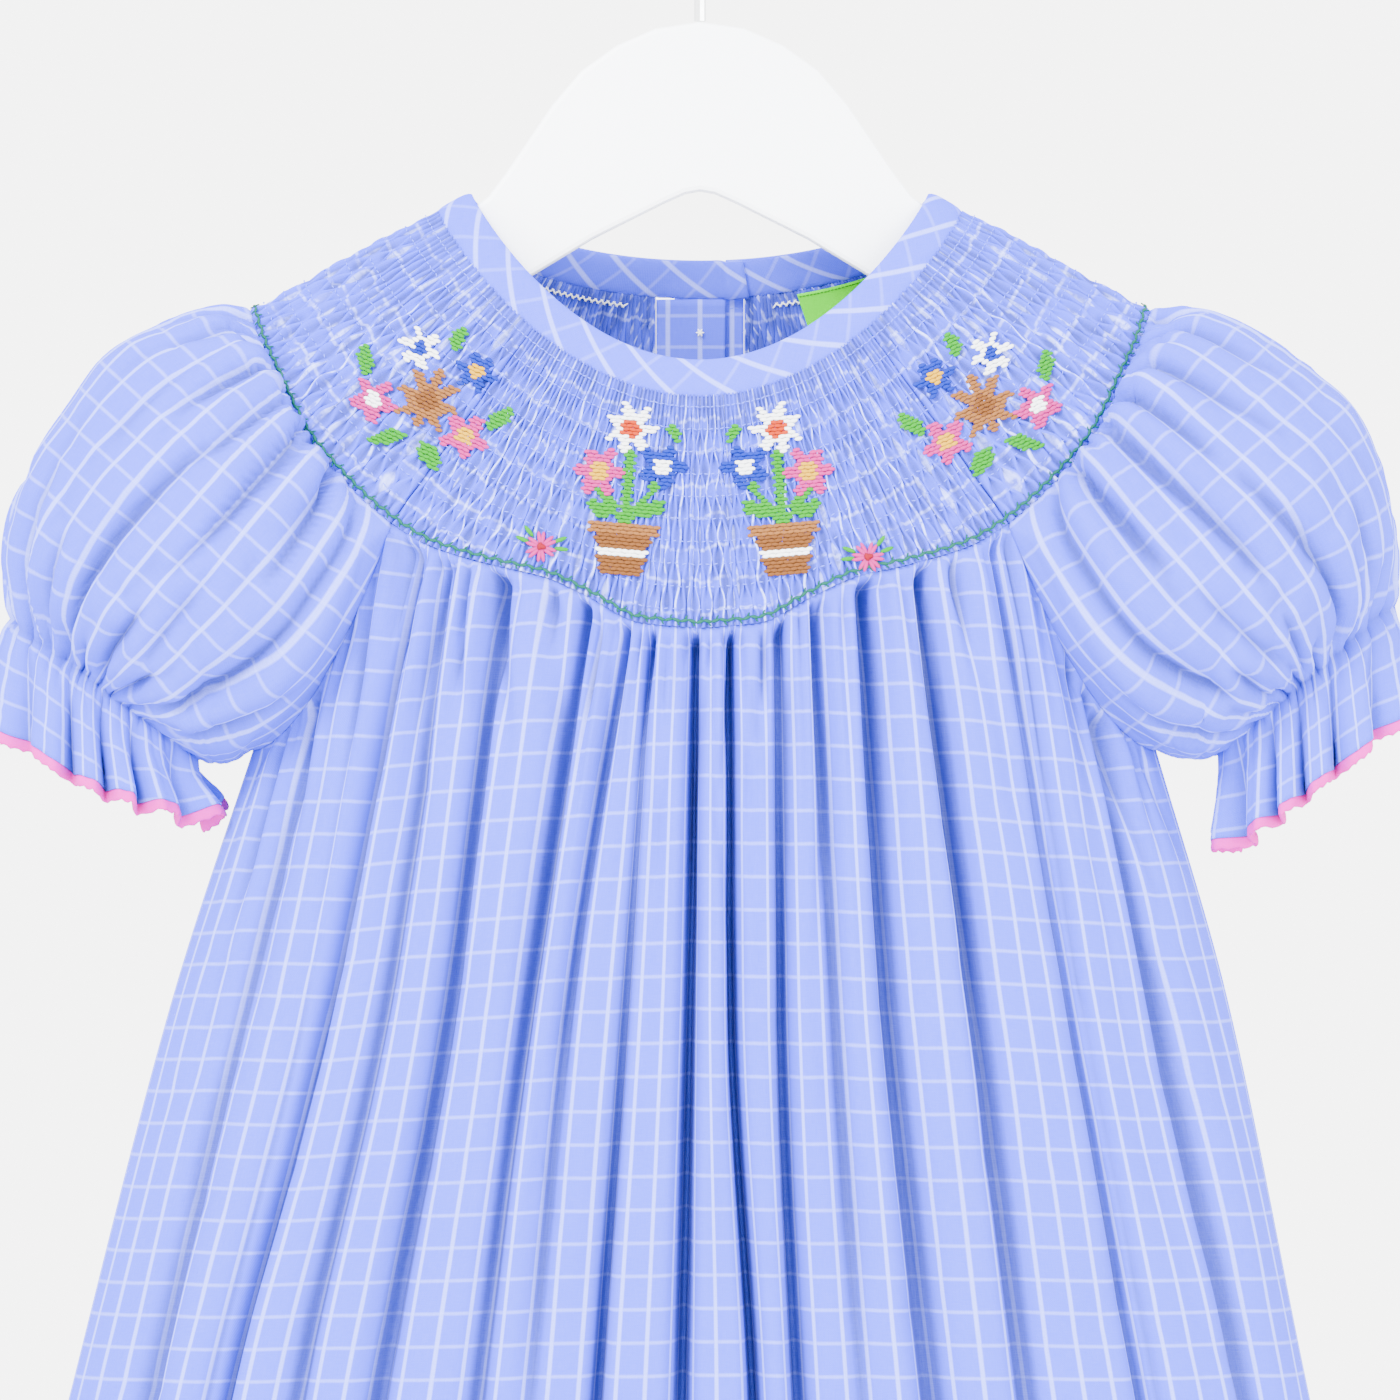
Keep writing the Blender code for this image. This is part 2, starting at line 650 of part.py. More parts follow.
def span_shares(line, spans, dense, columns):
    """How many columns each stretch between two valleys gets, by its length."""
    each = np.array([lengths(line[k * dense : (k + 1) * dense + 1])[-1] for k in range(spans)])
    wanted = each / each.sum() * columns
    counts = np.maximum(2, np.floor(wanted).astype(int))
    order = np.argsort(-(wanted - counts))
    for k in order[: max(0, columns - counts.sum())]:
        counts[k] += 1
    return counts


def panel(name, folds, columns, back=False):
    grid = panel_grid(folds, columns, PANEL_LEVELS, back)
    normals = grid_normals(grid)
    if back:
        normals = -normals
    ripple = np.sin(math.pi / 2 * np.arange(grid.shape[1])) * (0 if back else 1)
    ripple[:3] = ripple[-3:] = 0
    grid += normals * (np.outer(GATHER_LEVELS, ripple))[..., None]
    for column in (0, -1):
        normals[:, column, 1] = 0
        normals[:, column, 2] = 0
    normals /= np.linalg.norm(normals, axis=2, keepdims=True)
    normals[0] = [top_edge_turn(x, back) for x in grid[0, :, 0]]
    grid[:, :, 1] += (SEAM_GAP / 2) * (1 if back else -1)
    thin_wall(name, grid, normals, "check_cotton")


# Sleeves

def armhole(side, angles):
    """Ring of points where a sleeve starts: along the yoke's edge and down both raglan seams."""
    under = UNDERARM_RIGHT if side > 0 else UNDERARM_LEFT
    turn = np.mod(angles, 2 * math.pi) / (2 * math.pi)
    points, turns = [], []
    for t in turn:
        front = t <= 0.5
        part = t if front else 1 - t
        part = part / 0.5
        seam = FRONT_SEAM if front else BACK_SEAM
        if part <= YOKE_SHARE:
            share = SHOULDER + (seam - SHOULDER) * part / YOKE_SHARE
            point = along(EDGE_LINE, [share])[0]
            way = yoke_seam_turn(side * share)
        else:
            u = (part - YOKE_SHARE) / (1 - YOKE_SHARE)
            reach = abs(under[0])
            point = top_edge((RAGLAN_X + (reach - RAGLAN_X) * u) * side, back=not front)
            point = np.array([abs(point[0]), point[1], point[2]])
            way = raglan_seam_turn(u, side, not front)
        points.append(point)
        turns.append(way)
    points, turns = np.array(points), np.array(turns)
    points[:, 0] *= side
    away = np.cross(np.roll(points, -1, axis=0) - np.roll(points, 1, axis=0), turns)
    away *= np.sign(away[:, :1]) * side
    away /= np.linalg.norm(away, axis=1, keepdims=True)
    return points + away * SEAM_GAP, turns


def body_tree():
    """The panels' outer surface with no folds, to keep the sleeves clear of it."""
    points, faces = [], []
    for back in (False, True):
        grid = panel_grid((), 60, np.linspace(0, 1, 25), back, dense=120)
        first, columns = len(points), grid.shape[1]
        points += [Vector(p) for p in grid.reshape(-1, 3)]
        for i in range(grid.shape[0] - 1):
            for j in range(columns - 1):
                a = first + i * columns + j
                quad = (a, a + columns, a + columns + 1, a + 1)
                faces.append(quad[::-1] if back else quad)
    return BVHTree.FromPolygons(points, faces)


def keep_clear(grid, tree, clearance):
    """Moves points that are inside or too near the body out along its surface normal."""
    for i in range(1, grid.shape[0]):
        for j in range(grid.shape[1]):
            point = Vector(grid[i, j])
            foot, normal, _, _ = tree.find_nearest(point)
            away = point - foot
            out = away.dot(normal)
            if (away - normal * out).length < 1.0 and -40 < out < clearance:
                grid[i, j] = point + normal * (clearance - out)
    return grid


def sleeve_grid(side, table, columns, levels, frill_table, frill_rows):
    """Outer points of a sleeve, from the armhole to the edge of the frill."""
    angles = np.linspace(0, 2 * math.pi, columns, endpoint=False)
    start, turns = armhole(side, angles)
    stations, rings = [0.0], [start]
    for w, top_x, top_z, low_x, low_z, depth, lean in (*table, *frill_table):
        middle = np.array([(top_x + low_x) / 2, 0.0, (top_z + low_z) / 2])
        half = np.array([(top_x - low_x) / 2, 0.0, (top_z - low_z) / 2])
        ring = middle + half * np.cos(angles)[:, None]
        ring[:, 1] -= depth * np.sin(angles)
        ring[:, 0] -= side * lean * np.sin(angles) ** 2
        stations.append(w)
        rings.append(ring)
    stations, rings = np.array(stations), np.array(rings)
    frill = 1 + (stations[-1] - 1) * np.arange(1, frill_rows + 1) / frill_rows
    at = np.concatenate([levels, frill])
    grid = np.empty((len(at), columns, 3))
    for j in range(columns):
        for k in range(3):
            grid[:, j, k] = smooth(at, stations, rings[:, j, k])
    around = np.where(angles <= math.pi, angles, 2 * math.pi - angles)
    raglan = np.exp(-(((around - math.radians(118)) / math.radians(32)) ** 2))
    swell = np.sin(math.pi * np.clip(at / 0.55, 0, 1))
    push = OVERHANG * swell[:, None] * raglan
    grid[:, :, 0] -= side * 0.45 * push
    grid[:, :, 1] -= np.where(angles <= math.pi, 1, -1) * 0.85 * push
    grid[:, :, 2] -= 0.30 * push
    return keep_clear(grid, BODY, SLEEVE_CLEARANCE), at, angles, turns


def sleeve(side, table, frill_table, label):
    """A puffed sleeve with its elastic and frill, and the pink edging beyond it."""
    grid, at, angles, turns = sleeve_grid(
        side, table, SLEEVE_COLUMNS, SLEEVE_LEVELS, frill_table, FRILL_ROWS
    )
    normals = grid_normals(grid, closed=True) * -side
    normals[0] = turns
    column = np.arange(SLEEVE_COLUMNS)
    pleat = np.where(column % 2 == 0, 1, -1)
    near_elastic = np.exp(-(((at - 1.0) / 0.15) ** 2))
    near_yoke = np.exp(-(((at - 0.16) / 0.14) ** 2))
    wave = np.sin(FRILL_WAVES * angles)
    beyond = np.clip((at - 1.0) / (at[-1] - 1.0), 0, 1)
    under = np.abs(angles - math.pi) / math.pi
    height = GATHER_HEIGHT * near_elastic[:, None] * pleat * np.clip(0.2 + 1.6 * under, 0, 1)
    shoulder = np.clip((under - (1 - YOKE_SHARE)) / 0.15, 0, 1)
    height += SHOULDER_GATHER * near_yoke[:, None] * pleat * shoulder
    degrees = np.degrees(angles)
    for centre, deepest, reach, depth, spread in SLEEVE_CREASES:
        across = fold_shape((degrees - centre) / spread)
        height -= depth * np.outer(fold_shape((at - deepest) / reach), across)
    height = height * (1 - beyond[:, None]) + FRILL_WAVE * beyond[:, None] * wave
    height[0] = 0
    grid = grid + normals * height[..., None]
    waved = grid_normals(grid, closed=True) * -side
    normals[at > 1] = waved[at > 1]
    thin_wall(f"sleeve_{label}", grid, normals, "check_cotton", closed=True)
    edge = grid[-1]
    down = edge - grid[-2]
    down -= normals[-1] * np.sum(down * normals[-1], axis=1, keepdims=True)
    down /= np.linalg.norm(down, axis=1, keepdims=True)
    out = normals[-1] * (TRIM_THICK - CLOTH_THICK) / 2
    start = 1.5 * SEAM_GAP
    outer = np.array([edge + down * start + out, edge + down * (start + TRIM_WIDTH) + out])
    edging_normals = np.array([normals[-1], normals[-1]])
    thin_wall(f"edging_{label}", outer, edging_normals, "pink_edging", True, TRIM_THICK)


# Back opening

def back_centre_line(count, below):
    """Points down the back centre from under the binding, with their outward normals."""
    start = float(drop_of(BINDING_WIDTH + SEAM_GAP, 1.0))
    drops = np.linspace(start, 1.0, count)
    yoke_part = yoke_point(np.full(count, 0.9999), drops)
    yoke_part[:, 0] = 0
    line = [*yoke_part]
    panel_line = panel_grid(BACK_FOLDS, BACK_COLUMNS, np.linspace(0, 1, 41), back=True)
    middle = int(np.abs(panel_line[0, :, 0]).argmin())
    for point in panel_line[1:, middle]:
        if point[2] > line[count - 1][2] - below:
            line.append(np.array([0, point[1] + SEAM_GAP / 2, point[2]]))
    line = along(np.array(line), np.linspace(0, 1, 2 * count))
    slope = np.gradient(line, axis=0)
    normals = np.stack([np.zeros(len(line)), -slope[:, 2], slope[:, 1]], axis=-1)
    return line, normals / np.linalg.norm(normals, axis=1, keepdims=True)


def placket():
    """The under strip between the yoke's halves, and the over strip that laps it."""
    line, normals = back_centre_line(9, PLACKET_BELOW_YOKE)
    edge_z = YOKE_EDGE[-1][2]
    inside = [i for i in range(len(line)) if line[i][2] > edge_z + 1.0]
    for name, rows, low, high, lift in (
        ("placket_under", inside, -PLACKET_HALF, PLACKET_LAP, 0.0),
        ("placket_over", range(len(line)), -PLACKET_LAP, PLACKET_HALF, PLACKET_THICK + SEAM_GAP),
    ):
        xs = np.linspace(high, low, 4)
        outer = np.array([
            [line[i] + normals[i] * lift + np.array([x, 0, 0]) for x in xs] for i in rows
        ])
        faces_out = np.array([[normals[i]] * len(xs) for i in rows])
        thin_wall(name, outer, faces_out, "check_cotton", thick=PLACKET_THICK)
    return line, normals


def button(name, place, direction):
    """A round button with a rim and two thread holes, its face along direction."""
    bm = bmesh.new()
    bmesh.ops.create_cone(bm, cap_ends=True, segments=24, radius1=BUTTON_RADIUS * MM,
                          radius2=BUTTON_RADIUS * MM, depth=BUTTON_THICK * MM)
    rims = [e for e in bm.edges if abs(e.verts[0].co.z - e.verts[1].co.z) < 1e-6]
    bmesh.ops.bevel(bm, geom=rims, offset=0.5 * MM, segments=1, affect="EDGES")
    mesh = bpy.data.meshes.new(name)
    bm.to_mesh(mesh)
    bm.free()
    obj = bpy.data.objects.new(name, mesh)
    PARTS.objects.link(obj)
    for k, side in enumerate((-1, 1)):
        cutter_bm = bmesh.new()
        bmesh.ops.create_cone(cutter_bm, cap_ends=True, segments=10,
                              radius1=BUTTON_HOLE_RADIUS * MM, radius2=BUTTON_HOLE_RADIUS * MM,
                              depth=3 * BUTTON_THICK * MM)
        cutter_mesh = bpy.data.meshes.new(f"{name}_hole_{k}")
        cutter_bm.to_mesh(cutter_mesh)
        cutter_bm.free()
        cutter = bpy.data.objects.new(f"{name}_hole_{k}", cutter_mesh)
        cutter.parent = obj
        cutter.location = (side * BUTTON_HOLE_OFFSET * MM, 0, 0)
        cutter.hide_render = True
        cutter.display_type = "WIRE"
        CUTTERS.objects.link(cutter)
        hole = obj.modifiers.new(f"hole_{k}", "BOOLEAN")
        hole.operation = "DIFFERENCE"
        hole.object = cutter
    turn = Vector(direction).to_track_quat("Z", "X").to_matrix().to_4x4()
    obj.matrix_world = Matrix.Translation(Vector(place) * MM) @ turn
    mesh.materials.append(material("white_button"))
    return obj


def buttons(line, normals):
    """Buttons down the outer strip."""
    at = lengths(line)
    lift = PLACKET_THICK + 2 * SEAM_GAP + BUTTON_THICK / 2
    for k, drop in enumerate(BUTTON_DROPS):
        place = np.array([np.interp(drop, at, line[:, i]) for i in range(3)])
        normal = np.array([np.interp(drop, at, normals[:, i]) for i in range(3)])
        button(f"button_{k + 1}", place + normal * lift, normal)


def label():
    """A bare woven label on the inside of the back yoke, beside the placket."""
    near = opening_share(0.2, LABEL_X)
    far = BACK_SEAM + 0.008
    shares = np.linspace(far, near, 6)
    top = drop_of(BINDING_WIDTH + SEAM_GAP, shares)
    knots = [top, (1 + top) / 2]
    first, second = (
        yoke_point(shares, d) - yoke_normal(shares, d) * (CLOTH_THICK + SEAM_GAP) for d in knots
    )
    reach = np.linalg.norm(second - first, axis=1)[:, None]
    levels = (1.0, (1.0 + LABEL_HEIGHT) / 2, LABEL_HEIGHT)
    outer = np.array([first + (second - first) * level / reach for level in levels])
    normals = np.array([yoke_normal(shares, knots[0])] * len(levels))
    thin_wall("neck_label", outer, normals, "green_label", thick=LABEL_THICK)


# Hanger

def mesh_of_curve(curve_obj, name, finish):
    """Replaces a curve by its mesh, with its caps welded on."""
    bpy.context.view_layer.update()
    graph = bpy.context.evaluated_depsgraph_get()
    mesh = bpy.data.meshes.new_from_object(curve_obj.evaluated_get(graph))
    bm = bmesh.new()
    bm.from_mesh(mesh)
    bmesh.ops.remove_doubles(bm, verts=bm.verts, dist=0.00001)
    bmesh.ops.recalc_face_normals(bm, faces=bm.faces)
    bm.to_mesh(mesh)
    bm.free()
    obj = bpy.data.objects.new(name, mesh)
    obj.matrix_world = curve_obj.matrix_world
    bpy.data.objects.remove(curve_obj)
    PARTS.objects.link(obj)
    mesh.materials.clear()
    mesh.materials.append(material(finish))
    mesh.shade_smooth()
    mesh.set_sharp_from_angle(angle=math.radians(40))
    return obj


def hanger_board():
    """The flat white board: a dome with two arms that follow the shoulders."""
    half = list(BOARD_OUTLINE)
    outline = half + [(-x, z) for x, z in half[-2:0:-1]]
    curve = bpy.data.curves.new("hanger_outline", "CURVE")
    curve.dimensions = "2D"
    curve.fill_mode = "BOTH"
    curve.extrude = (BOARD_HALF_THICK - BOARD_ROUNDING) * MM
    curve.bevel_depth = BOARD_ROUNDING * MM
    curve.bevel_resolution = 1
    curve.offset = -BOARD_ROUNDING * MM
    spline = curve.splines.new("POLY")
    spline.points.add(len(outline) - 1)
    for point, (x, z) in zip(spline.points, outline):
        point.co = (x * MM, z * MM, 0, 1)
    spline.use_cyclic_u = True
    obj = bpy.data.objects.new("hanger_outline", curve)
    obj.rotation_euler = (math.radians(90), 0, 0)
    PARTS.objects.link(obj)
    mesh_of_curve(obj, "hanger_board", "white_board")


def hanger_hook():
    """The wire hook: an arc over the rod that curls back to a shank above the board."""
    centre_z = WIRE_RADIUS - HOOK_RADIUS
    count = int((HOOK_START_DEG - HOOK_END_DEG) / HOOK_STEP_DEG)
    line = []
    for k in range(count + 1):
        turn = math.radians(HOOK_START_DEG + (HOOK_END_DEG - HOOK_START_DEG) * k / count)
        line.append((HOOK_RADIUS * math.cos(turn), centre_z + HOOK_RADIUS * math.sin(turn)))
    last_x, last_z = line[-1]
    for k in range(1, 7):
        t = k / 6
        line.append((last_x * (1 - ease(t)), last_z + (SHANK_TOP_Z - last_z) * t))
    board_top = BOARD_OUTLINE[0][1]
    line.append((0.0, board_top + SEAM_GAP))
    curve = bpy.data.curves.new("hook_line", "CURVE")
    curve.dimensions = "3D"
    curve.bevel_depth = WIRE_RADIUS * MM
    curve.bevel_resolution = 2
    curve.use_fill_caps = True
    spline = curve.splines.new("POLY")
    spline.points.add(len(line) - 1)
    for point, (x, z) in zip(spline.points, line):
        point.co = (x * MM, 0, z * MM, 1)
    obj = bpy.data.objects.new("hook_line", curve)
    PARTS.objects.link(obj)
    mesh_of_curve(obj, "hanger_hook", "hook_steel")


clear_scene()
PARTS = bpy.data.collections.new("smocked_dress")
CUTTERS = bpy.data.collections.new("cutters")
bpy.context.scene.collection.children.link(PARTS)
bpy.context.scene.collection.children.link(CUTTERS)

BODY = body_tree()
yoke()
neck_binding()
panel("front_panel", FRONT_FOLDS, FRONT_COLUMNS)
panel("back_panel", BACK_FOLDS, BACK_COLUMNS, back=True)
sleeve(1, SLEEVE_RIGHT, FRILL_RIGHT, "right")
sleeve(-1, SLEEVE_LEFT, FRILL_LEFT, "left")
back_line, back_normals = placket()
buttons(back_line, back_normals)
label()
hanger_board()
hanger_hook()
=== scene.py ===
"""A child's smocked bishop dress in blue windowpane cotton, hanging on a white hanger.

Tables and sizes are in millimetres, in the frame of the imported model, and meshes are made in metres.
"""

import json
import math

import bpy
import numpy as np
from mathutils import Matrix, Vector
from mathutils.bvhtree import BVHTree

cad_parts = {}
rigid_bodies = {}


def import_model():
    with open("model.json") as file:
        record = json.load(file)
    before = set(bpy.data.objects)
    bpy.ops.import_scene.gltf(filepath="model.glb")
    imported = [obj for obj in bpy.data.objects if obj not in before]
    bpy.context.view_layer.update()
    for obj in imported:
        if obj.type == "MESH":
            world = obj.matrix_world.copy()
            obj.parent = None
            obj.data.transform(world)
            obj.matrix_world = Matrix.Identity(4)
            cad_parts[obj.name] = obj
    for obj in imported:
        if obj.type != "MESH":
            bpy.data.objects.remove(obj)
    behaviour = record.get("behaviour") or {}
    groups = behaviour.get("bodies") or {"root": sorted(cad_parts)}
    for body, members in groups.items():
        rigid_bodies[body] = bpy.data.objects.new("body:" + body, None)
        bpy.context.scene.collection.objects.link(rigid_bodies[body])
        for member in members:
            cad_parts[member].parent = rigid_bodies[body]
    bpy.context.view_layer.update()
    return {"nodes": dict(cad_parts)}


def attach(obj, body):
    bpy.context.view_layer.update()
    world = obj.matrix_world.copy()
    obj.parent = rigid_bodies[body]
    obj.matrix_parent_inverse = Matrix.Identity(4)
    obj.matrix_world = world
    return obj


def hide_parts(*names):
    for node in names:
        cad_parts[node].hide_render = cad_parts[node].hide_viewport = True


MM = 0.001

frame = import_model()
for loaded in bpy.data.objects:
    loaded.select_set(False)

# Neck edge and its binding
NECK_HALF_WIDTH = 61.5
NECK_SIDE_Z = -106.4
NECK_FRONT_DROP = 45.5
NECK_BACK_DROP = 16.5
NECK_FRONT_DEPTH = 22.0
NECK_BACK_DEPTH = 25.0
BINDING_WIDTH = 10.6
BINDING_THICK = 2.3

# Smocked yoke: its lower edge on the +X side, from the front centre over the shoulder to the back
YOKE_EDGE = (
    # x, y, z
    (0.0, -41.0, -224.0),
    (16.0, -41.0, -222.5),
    (29.0, -40.5, -216.0),
    (41.0, -40.0, -210.5),
    (56.0, -39.0, -207.0),
    (72.0, -37.0, -202.0),
    (84.0, -34.0, -194.5),
    (95.5, -30.0, -184.0),
    (105.5, -25.0, -172.0),
    (113.0, -18.0, -157.5),
    (118.5, -8.5, -146.0),
    (121.0, 0.0, -138.5),
    (118.5, 9.0, -145.0),
    (110.0, 21.0, -158.0),
    (95.0, 30.0, -171.0),
    (72.0, 36.5, -183.0),
    (40.0, 40.0, -192.0),
    (0.0, 41.0, -195.5),
)
YOKE_BULGE = 2.5
RAGLAN_X = 82.0
RAGLAN_BEND = 1.7
RIB_HEIGHT = 1.35
RIB_COLUMNS = 6
RIB_SWAY = 0.40
SMOCKING_ROW = 6.2
YOKE_ROWS = 46
FRONT_PLEATS = 96
SLEEVE_PLEATS = 56
BACK_PLEATS = 38

# Front and back panels
UNDERARM_LEFT = (-120.5, 0.0, -256.0)
UNDERARM_RIGHT = (123.0, 0.0, -256.0)
HEM_Z = -566.0
HEM_LEFT = -203.0
HEM_RIGHT = 193.0
HEM_DEPTH = 55.0
HEM_ROUNDING = 2.6
HEM_TURN = 34.0
HEM_STITCH_PITCH = 3.4
PANEL_SPRING = 5.0
MID_Z = -322.0
LOW_Z = -426.0
FOLD_REACH = 6.0
FRONT_FOLDS = (
    # x at the top edge, x at MID_Z, x at LOW_Z, x at the hem, depth high, depth low, half width
    (-103.0, -122.0, -147.0, -178.0, 3.0, 4.0, 9.0),
    (-76.0, -100.0, -127.0, -156.0, 9.0, 9.0, 6.0),
    (-67.0, -84.0, -107.0, -132.0, 4.0, 5.0, 6.0),
    (-53.0, -67.5, -86.0, -108.0, 9.0, 8.0, 7.0),
    (-30.5, -46.0, -59.0, -77.0, 9.0, 5.0, 6.0),
    (-20.0, -35.0, -45.0, -58.0, 6.0, 2.0, 5.0),
    (-13.0, -20.0, -27.5, -37.0, 3.0, 9.0, 4.0),
    (-1.5, -3.0, -5.0, -8.0, 12.0, 13.0, 5.0),
    (8.5, 9.0, 14.5, 19.0, 11.0, 12.0, 4.0),
    (21.0, 22.0, 26.5, 35.0, 7.0, 10.0, 5.0),
    (31.5, 36.0, 43.0, 55.0, 6.0, 2.0, 6.0),
    (44.5, 51.0, 62.0, 78.0, 11.0, 8.0, 8.0),
    (59.5, 74.0, 87.0, 106.0, 10.0, 6.0, 7.0),
    (79.0, 99.5, 118.5, 142.0, 5.0, 6.0, 6.0),
    (104.0, 122.0, 146.0, 171.0, 6.0, 4.0, 8.0),
)
BACK_FOLDS = (
    # x at the top edge, x at MID_Z, x at LOW_Z, x at the hem, depth high, depth low, half width
    (-101.0, -121.0, -142.0, -170.0, 4.0, 5.0, 8.0),
    (-76.0, -96.0, -118.0, -146.0, 8.0, 9.0, 7.0),
    (-60.0, -74.0, -92.0, -114.0, 7.0, 7.0, 7.0),
    (-43.0, -53.0, -66.0, -84.0, 9.0, 10.0, 7.0),
    (-28.0, -33.0, -40.0, -51.0, 6.0, 7.0, 6.0),
    (-15.5, -13.0, -15.0, -20.0, 4.0, 10.0, 6.0),
    (15.5, 14.0, 13.0, 15.0, 4.0, 9.0, 6.0),
    (27.0, 32.0, 40.0, 49.0, 7.0, 8.0, 6.0),
    (42.0, 52.0, 63.0, 79.0, 8.0, 8.0, 7.0),
    (58.0, 71.0, 86.0, 107.0, 9.0, 10.0, 7.0),
    (77.0, 97.0, 116.0, 140.0, 6.0, 7.0, 7.0),
    (103.0, 121.0, 141.0, 166.0, 4.0, 5.0, 8.0),
)
# The two sides of a panel, in the same columns
PANEL_LEFT = (UNDERARM_LEFT[0], -142.0, -169.0, HEM_LEFT, 0.0, 0.0, 6.0)
PANEL_RIGHT = (UNDERARM_RIGHT[0], 142.0, 163.5, HEM_RIGHT, 0.0, 0.0, 6.0)
# Small gathers below the yoke: how many across a panel, how high, and how soon they fade
PANEL_GATHERS = (
    # waves across, height, fades over
    (78, 1.15, 12.0),
    (47, 2.20, 26.0),
    (27, 2.40, 60.0),
)
RIDGE_SWELL = 2.4
CLOTH_THICK = 0.6
SEAM_GAP = 0.1

# Sleeves
YOKE_SHARE = 12.0 / 22.0
# Where the sleeve's threads run: from one place to the other, and how wide it is round that line
SLEEVE_AXIS = ((98.0, -166.0), (163.0, -241.0))
SLEEVE_ROUND = 50.0
OVERHANG = 9.0
SLEEVE_CLEARANCE = 2.6
SLEEVE_RIGHT = (
    # along, top x, top z, bottom x, bottom z, half depth, lean towards the body, fall of the front
    (0.16, 136.0, -138.0, 125.8, -257.0, 40.0, 29.0, 0.0),
    (0.34, 158.0, -148.5, 128.8, -258.0, 44.0, 20.0, 0.0),
    (0.52, 175.0, -163.5, 131.8, -258.5, 45.0, 12.0, 0.0),
    (0.70, 184.0, -184.0, 134.8, -258.5, 41.0, 6.0, 0.0),
    (0.86, 187.5, -203.0, 137.6, -258.0, 30.0, 2.0, 0.0),
    (1.00, 186.5, -217.5, 140.0, -257.0, 17.0, 0.0, 0.0),
)
SLEEVE_LEFT = (
    # along, top x, top z, bottom x, bottom z, half depth, lean towards the body, fall of the front
    (0.16, -133.0, -137.5, -123.0, -257.0, 40.0, 29.0, 0.0),
    (0.34, -152.0, -144.0, -125.6, -258.5, 44.0, 20.0, 0.0),
    (0.52, -170.0, -163.0, -128.4, -259.5, 45.0, 12.0, 0.0),
    (0.70, -183.0, -185.0, -131.2, -259.5, 41.0, 6.0, 0.0),
    (0.86, -187.5, -204.0, -133.6, -259.0, 30.0, 2.0, 0.0),
    (1.00, -186.5, -221.0, -136.0, -258.0, 17.0, 0.0, 0.0),
)
FRILL_RIGHT = (
    # along, top x, top z, bottom x, bottom z, half depth, lean towards the body, fall of the front
    (1.12, 187.5, -224.0, 140.5, -263.0, 18.0, 0.0, 1.0),
    (1.45, 190.0, -244.0, 140.0, -280.0, 21.0, 0.0, 3.0),
)
FRILL_LEFT = (
    # along, top x, top z, bottom x, bottom z, half depth, lean towards the body, fall of the front
    (1.12, -187.5, -227.0, -135.5, -263.0, 18.0, 0.0, 1.5),
    (1.45, -190.0, -246.0, -130.0, -272.0, 22.0, 0.0, 6.0),
)
# Long creases of a sleeve; degrees go round from the top through the front
CREASES_RIGHT = (
    # degrees at the yoke, degrees at the elastic, starts, ends, depth, half width in degrees
    (24.0, 20.0, 0.02, 0.34, 2.6, 5.0),
    (46.0, 36.0, 0.02, 0.46, 3.4, 6.0),
    (66.0, 60.0, 0.02, 0.36, 3.4, 5.5),
    (84.0, 76.0, 0.02, 0.62, 5.0, 6.5),
    (103.0, 101.0, 0.03, 0.38, 5.2, 5.5),
    (119.0, 116.0, 0.04, 0.74, 5.6, 6.5),
    (62.0, 52.0, 0.40, 0.98, 4.6, 6.5),
    (94.0, 96.0, 0.42, 0.84, 2.8, 5.0),
    (30.0, 30.0, 0.64, 0.98, 3.2, 6.0),
    (43.0, 40.0, 0.72, 0.98, 2.6, 4.5),
    (84.0, 80.0, 0.70, 0.98, 3.4, 5.0),
    (108.0, 112.0, 0.62, 0.98, 3.4, 5.5),
    (138.0, 144.0, 0.15, 0.92, 3.0, 7.0),
    (222.0, 218.0, 0.15, 0.90, 3.0, 7.0),
    (243.0, 246.0, 0.05, 0.66, 4.6, 6.0),
    (262.0, 268.0, 0.03, 0.46, 4.2, 6.0),
    (281.0, 288.0, 0.34, 0.98, 4.4, 6.0),
    (300.0, 308.0, 0.02, 0.42, 3.6, 6.0),
    (322.0, 328.0, 0.50, 0.98, 3.2, 6.0),
    (338.0, 334.0, 0.02, 0.36, 2.6, 5.0),
)
CREASES_LEFT = (
    # degrees at the yoke, degrees at the elastic, starts, ends, depth, half width in degrees
    (28.0, 22.0, 0.02, 0.30, 2.4, 5.0),
    (50.0, 34.0, 0.02, 0.40, 3.2, 6.0),
    (70.0, 58.0, 0.02, 0.40, 3.6, 5.5),
    (72.0, 56.0, 0.34, 0.98, 5.4, 6.5),
    (87.0, 81.0, 0.02, 0.56, 5.0, 6.0),
    (107.0, 107.0, 0.03, 0.36, 5.6, 6.0),
    (124.0, 120.0, 0.05, 0.86, 6.0, 6.5),
    (97.0, 100.0, 0.34, 0.80, 2.6, 5.0),
    (22.0, 28.0, 0.60, 0.98, 3.2, 6.0),
    (42.0, 44.0, 0.68, 0.98, 3.0, 5.0),
    (88.0, 86.0, 0.64, 0.98, 3.4, 5.0),
    (103.0, 106.0, 0.72, 0.98, 3.0, 5.0),
    (140.0, 146.0, 0.15, 0.90, 3.0, 7.0),
    (220.0, 216.0, 0.15, 0.90, 3.0, 7.0),
    (240.0, 243.0, 0.05, 0.60, 4.5, 6.0),
    (260.0, 267.0, 0.03, 0.52, 4.0, 6.0),
    (284.0, 290.0, 0.40, 0.98, 4.2, 6.0),
    (302.0, 307.0, 0.02, 0.46, 3.6, 6.0),
    (324.0, 331.0, 0.56, 0.98, 3.2, 6.0),
    (340.0, 336.0, 0.02, 0.36, 2.6, 5.0),
)
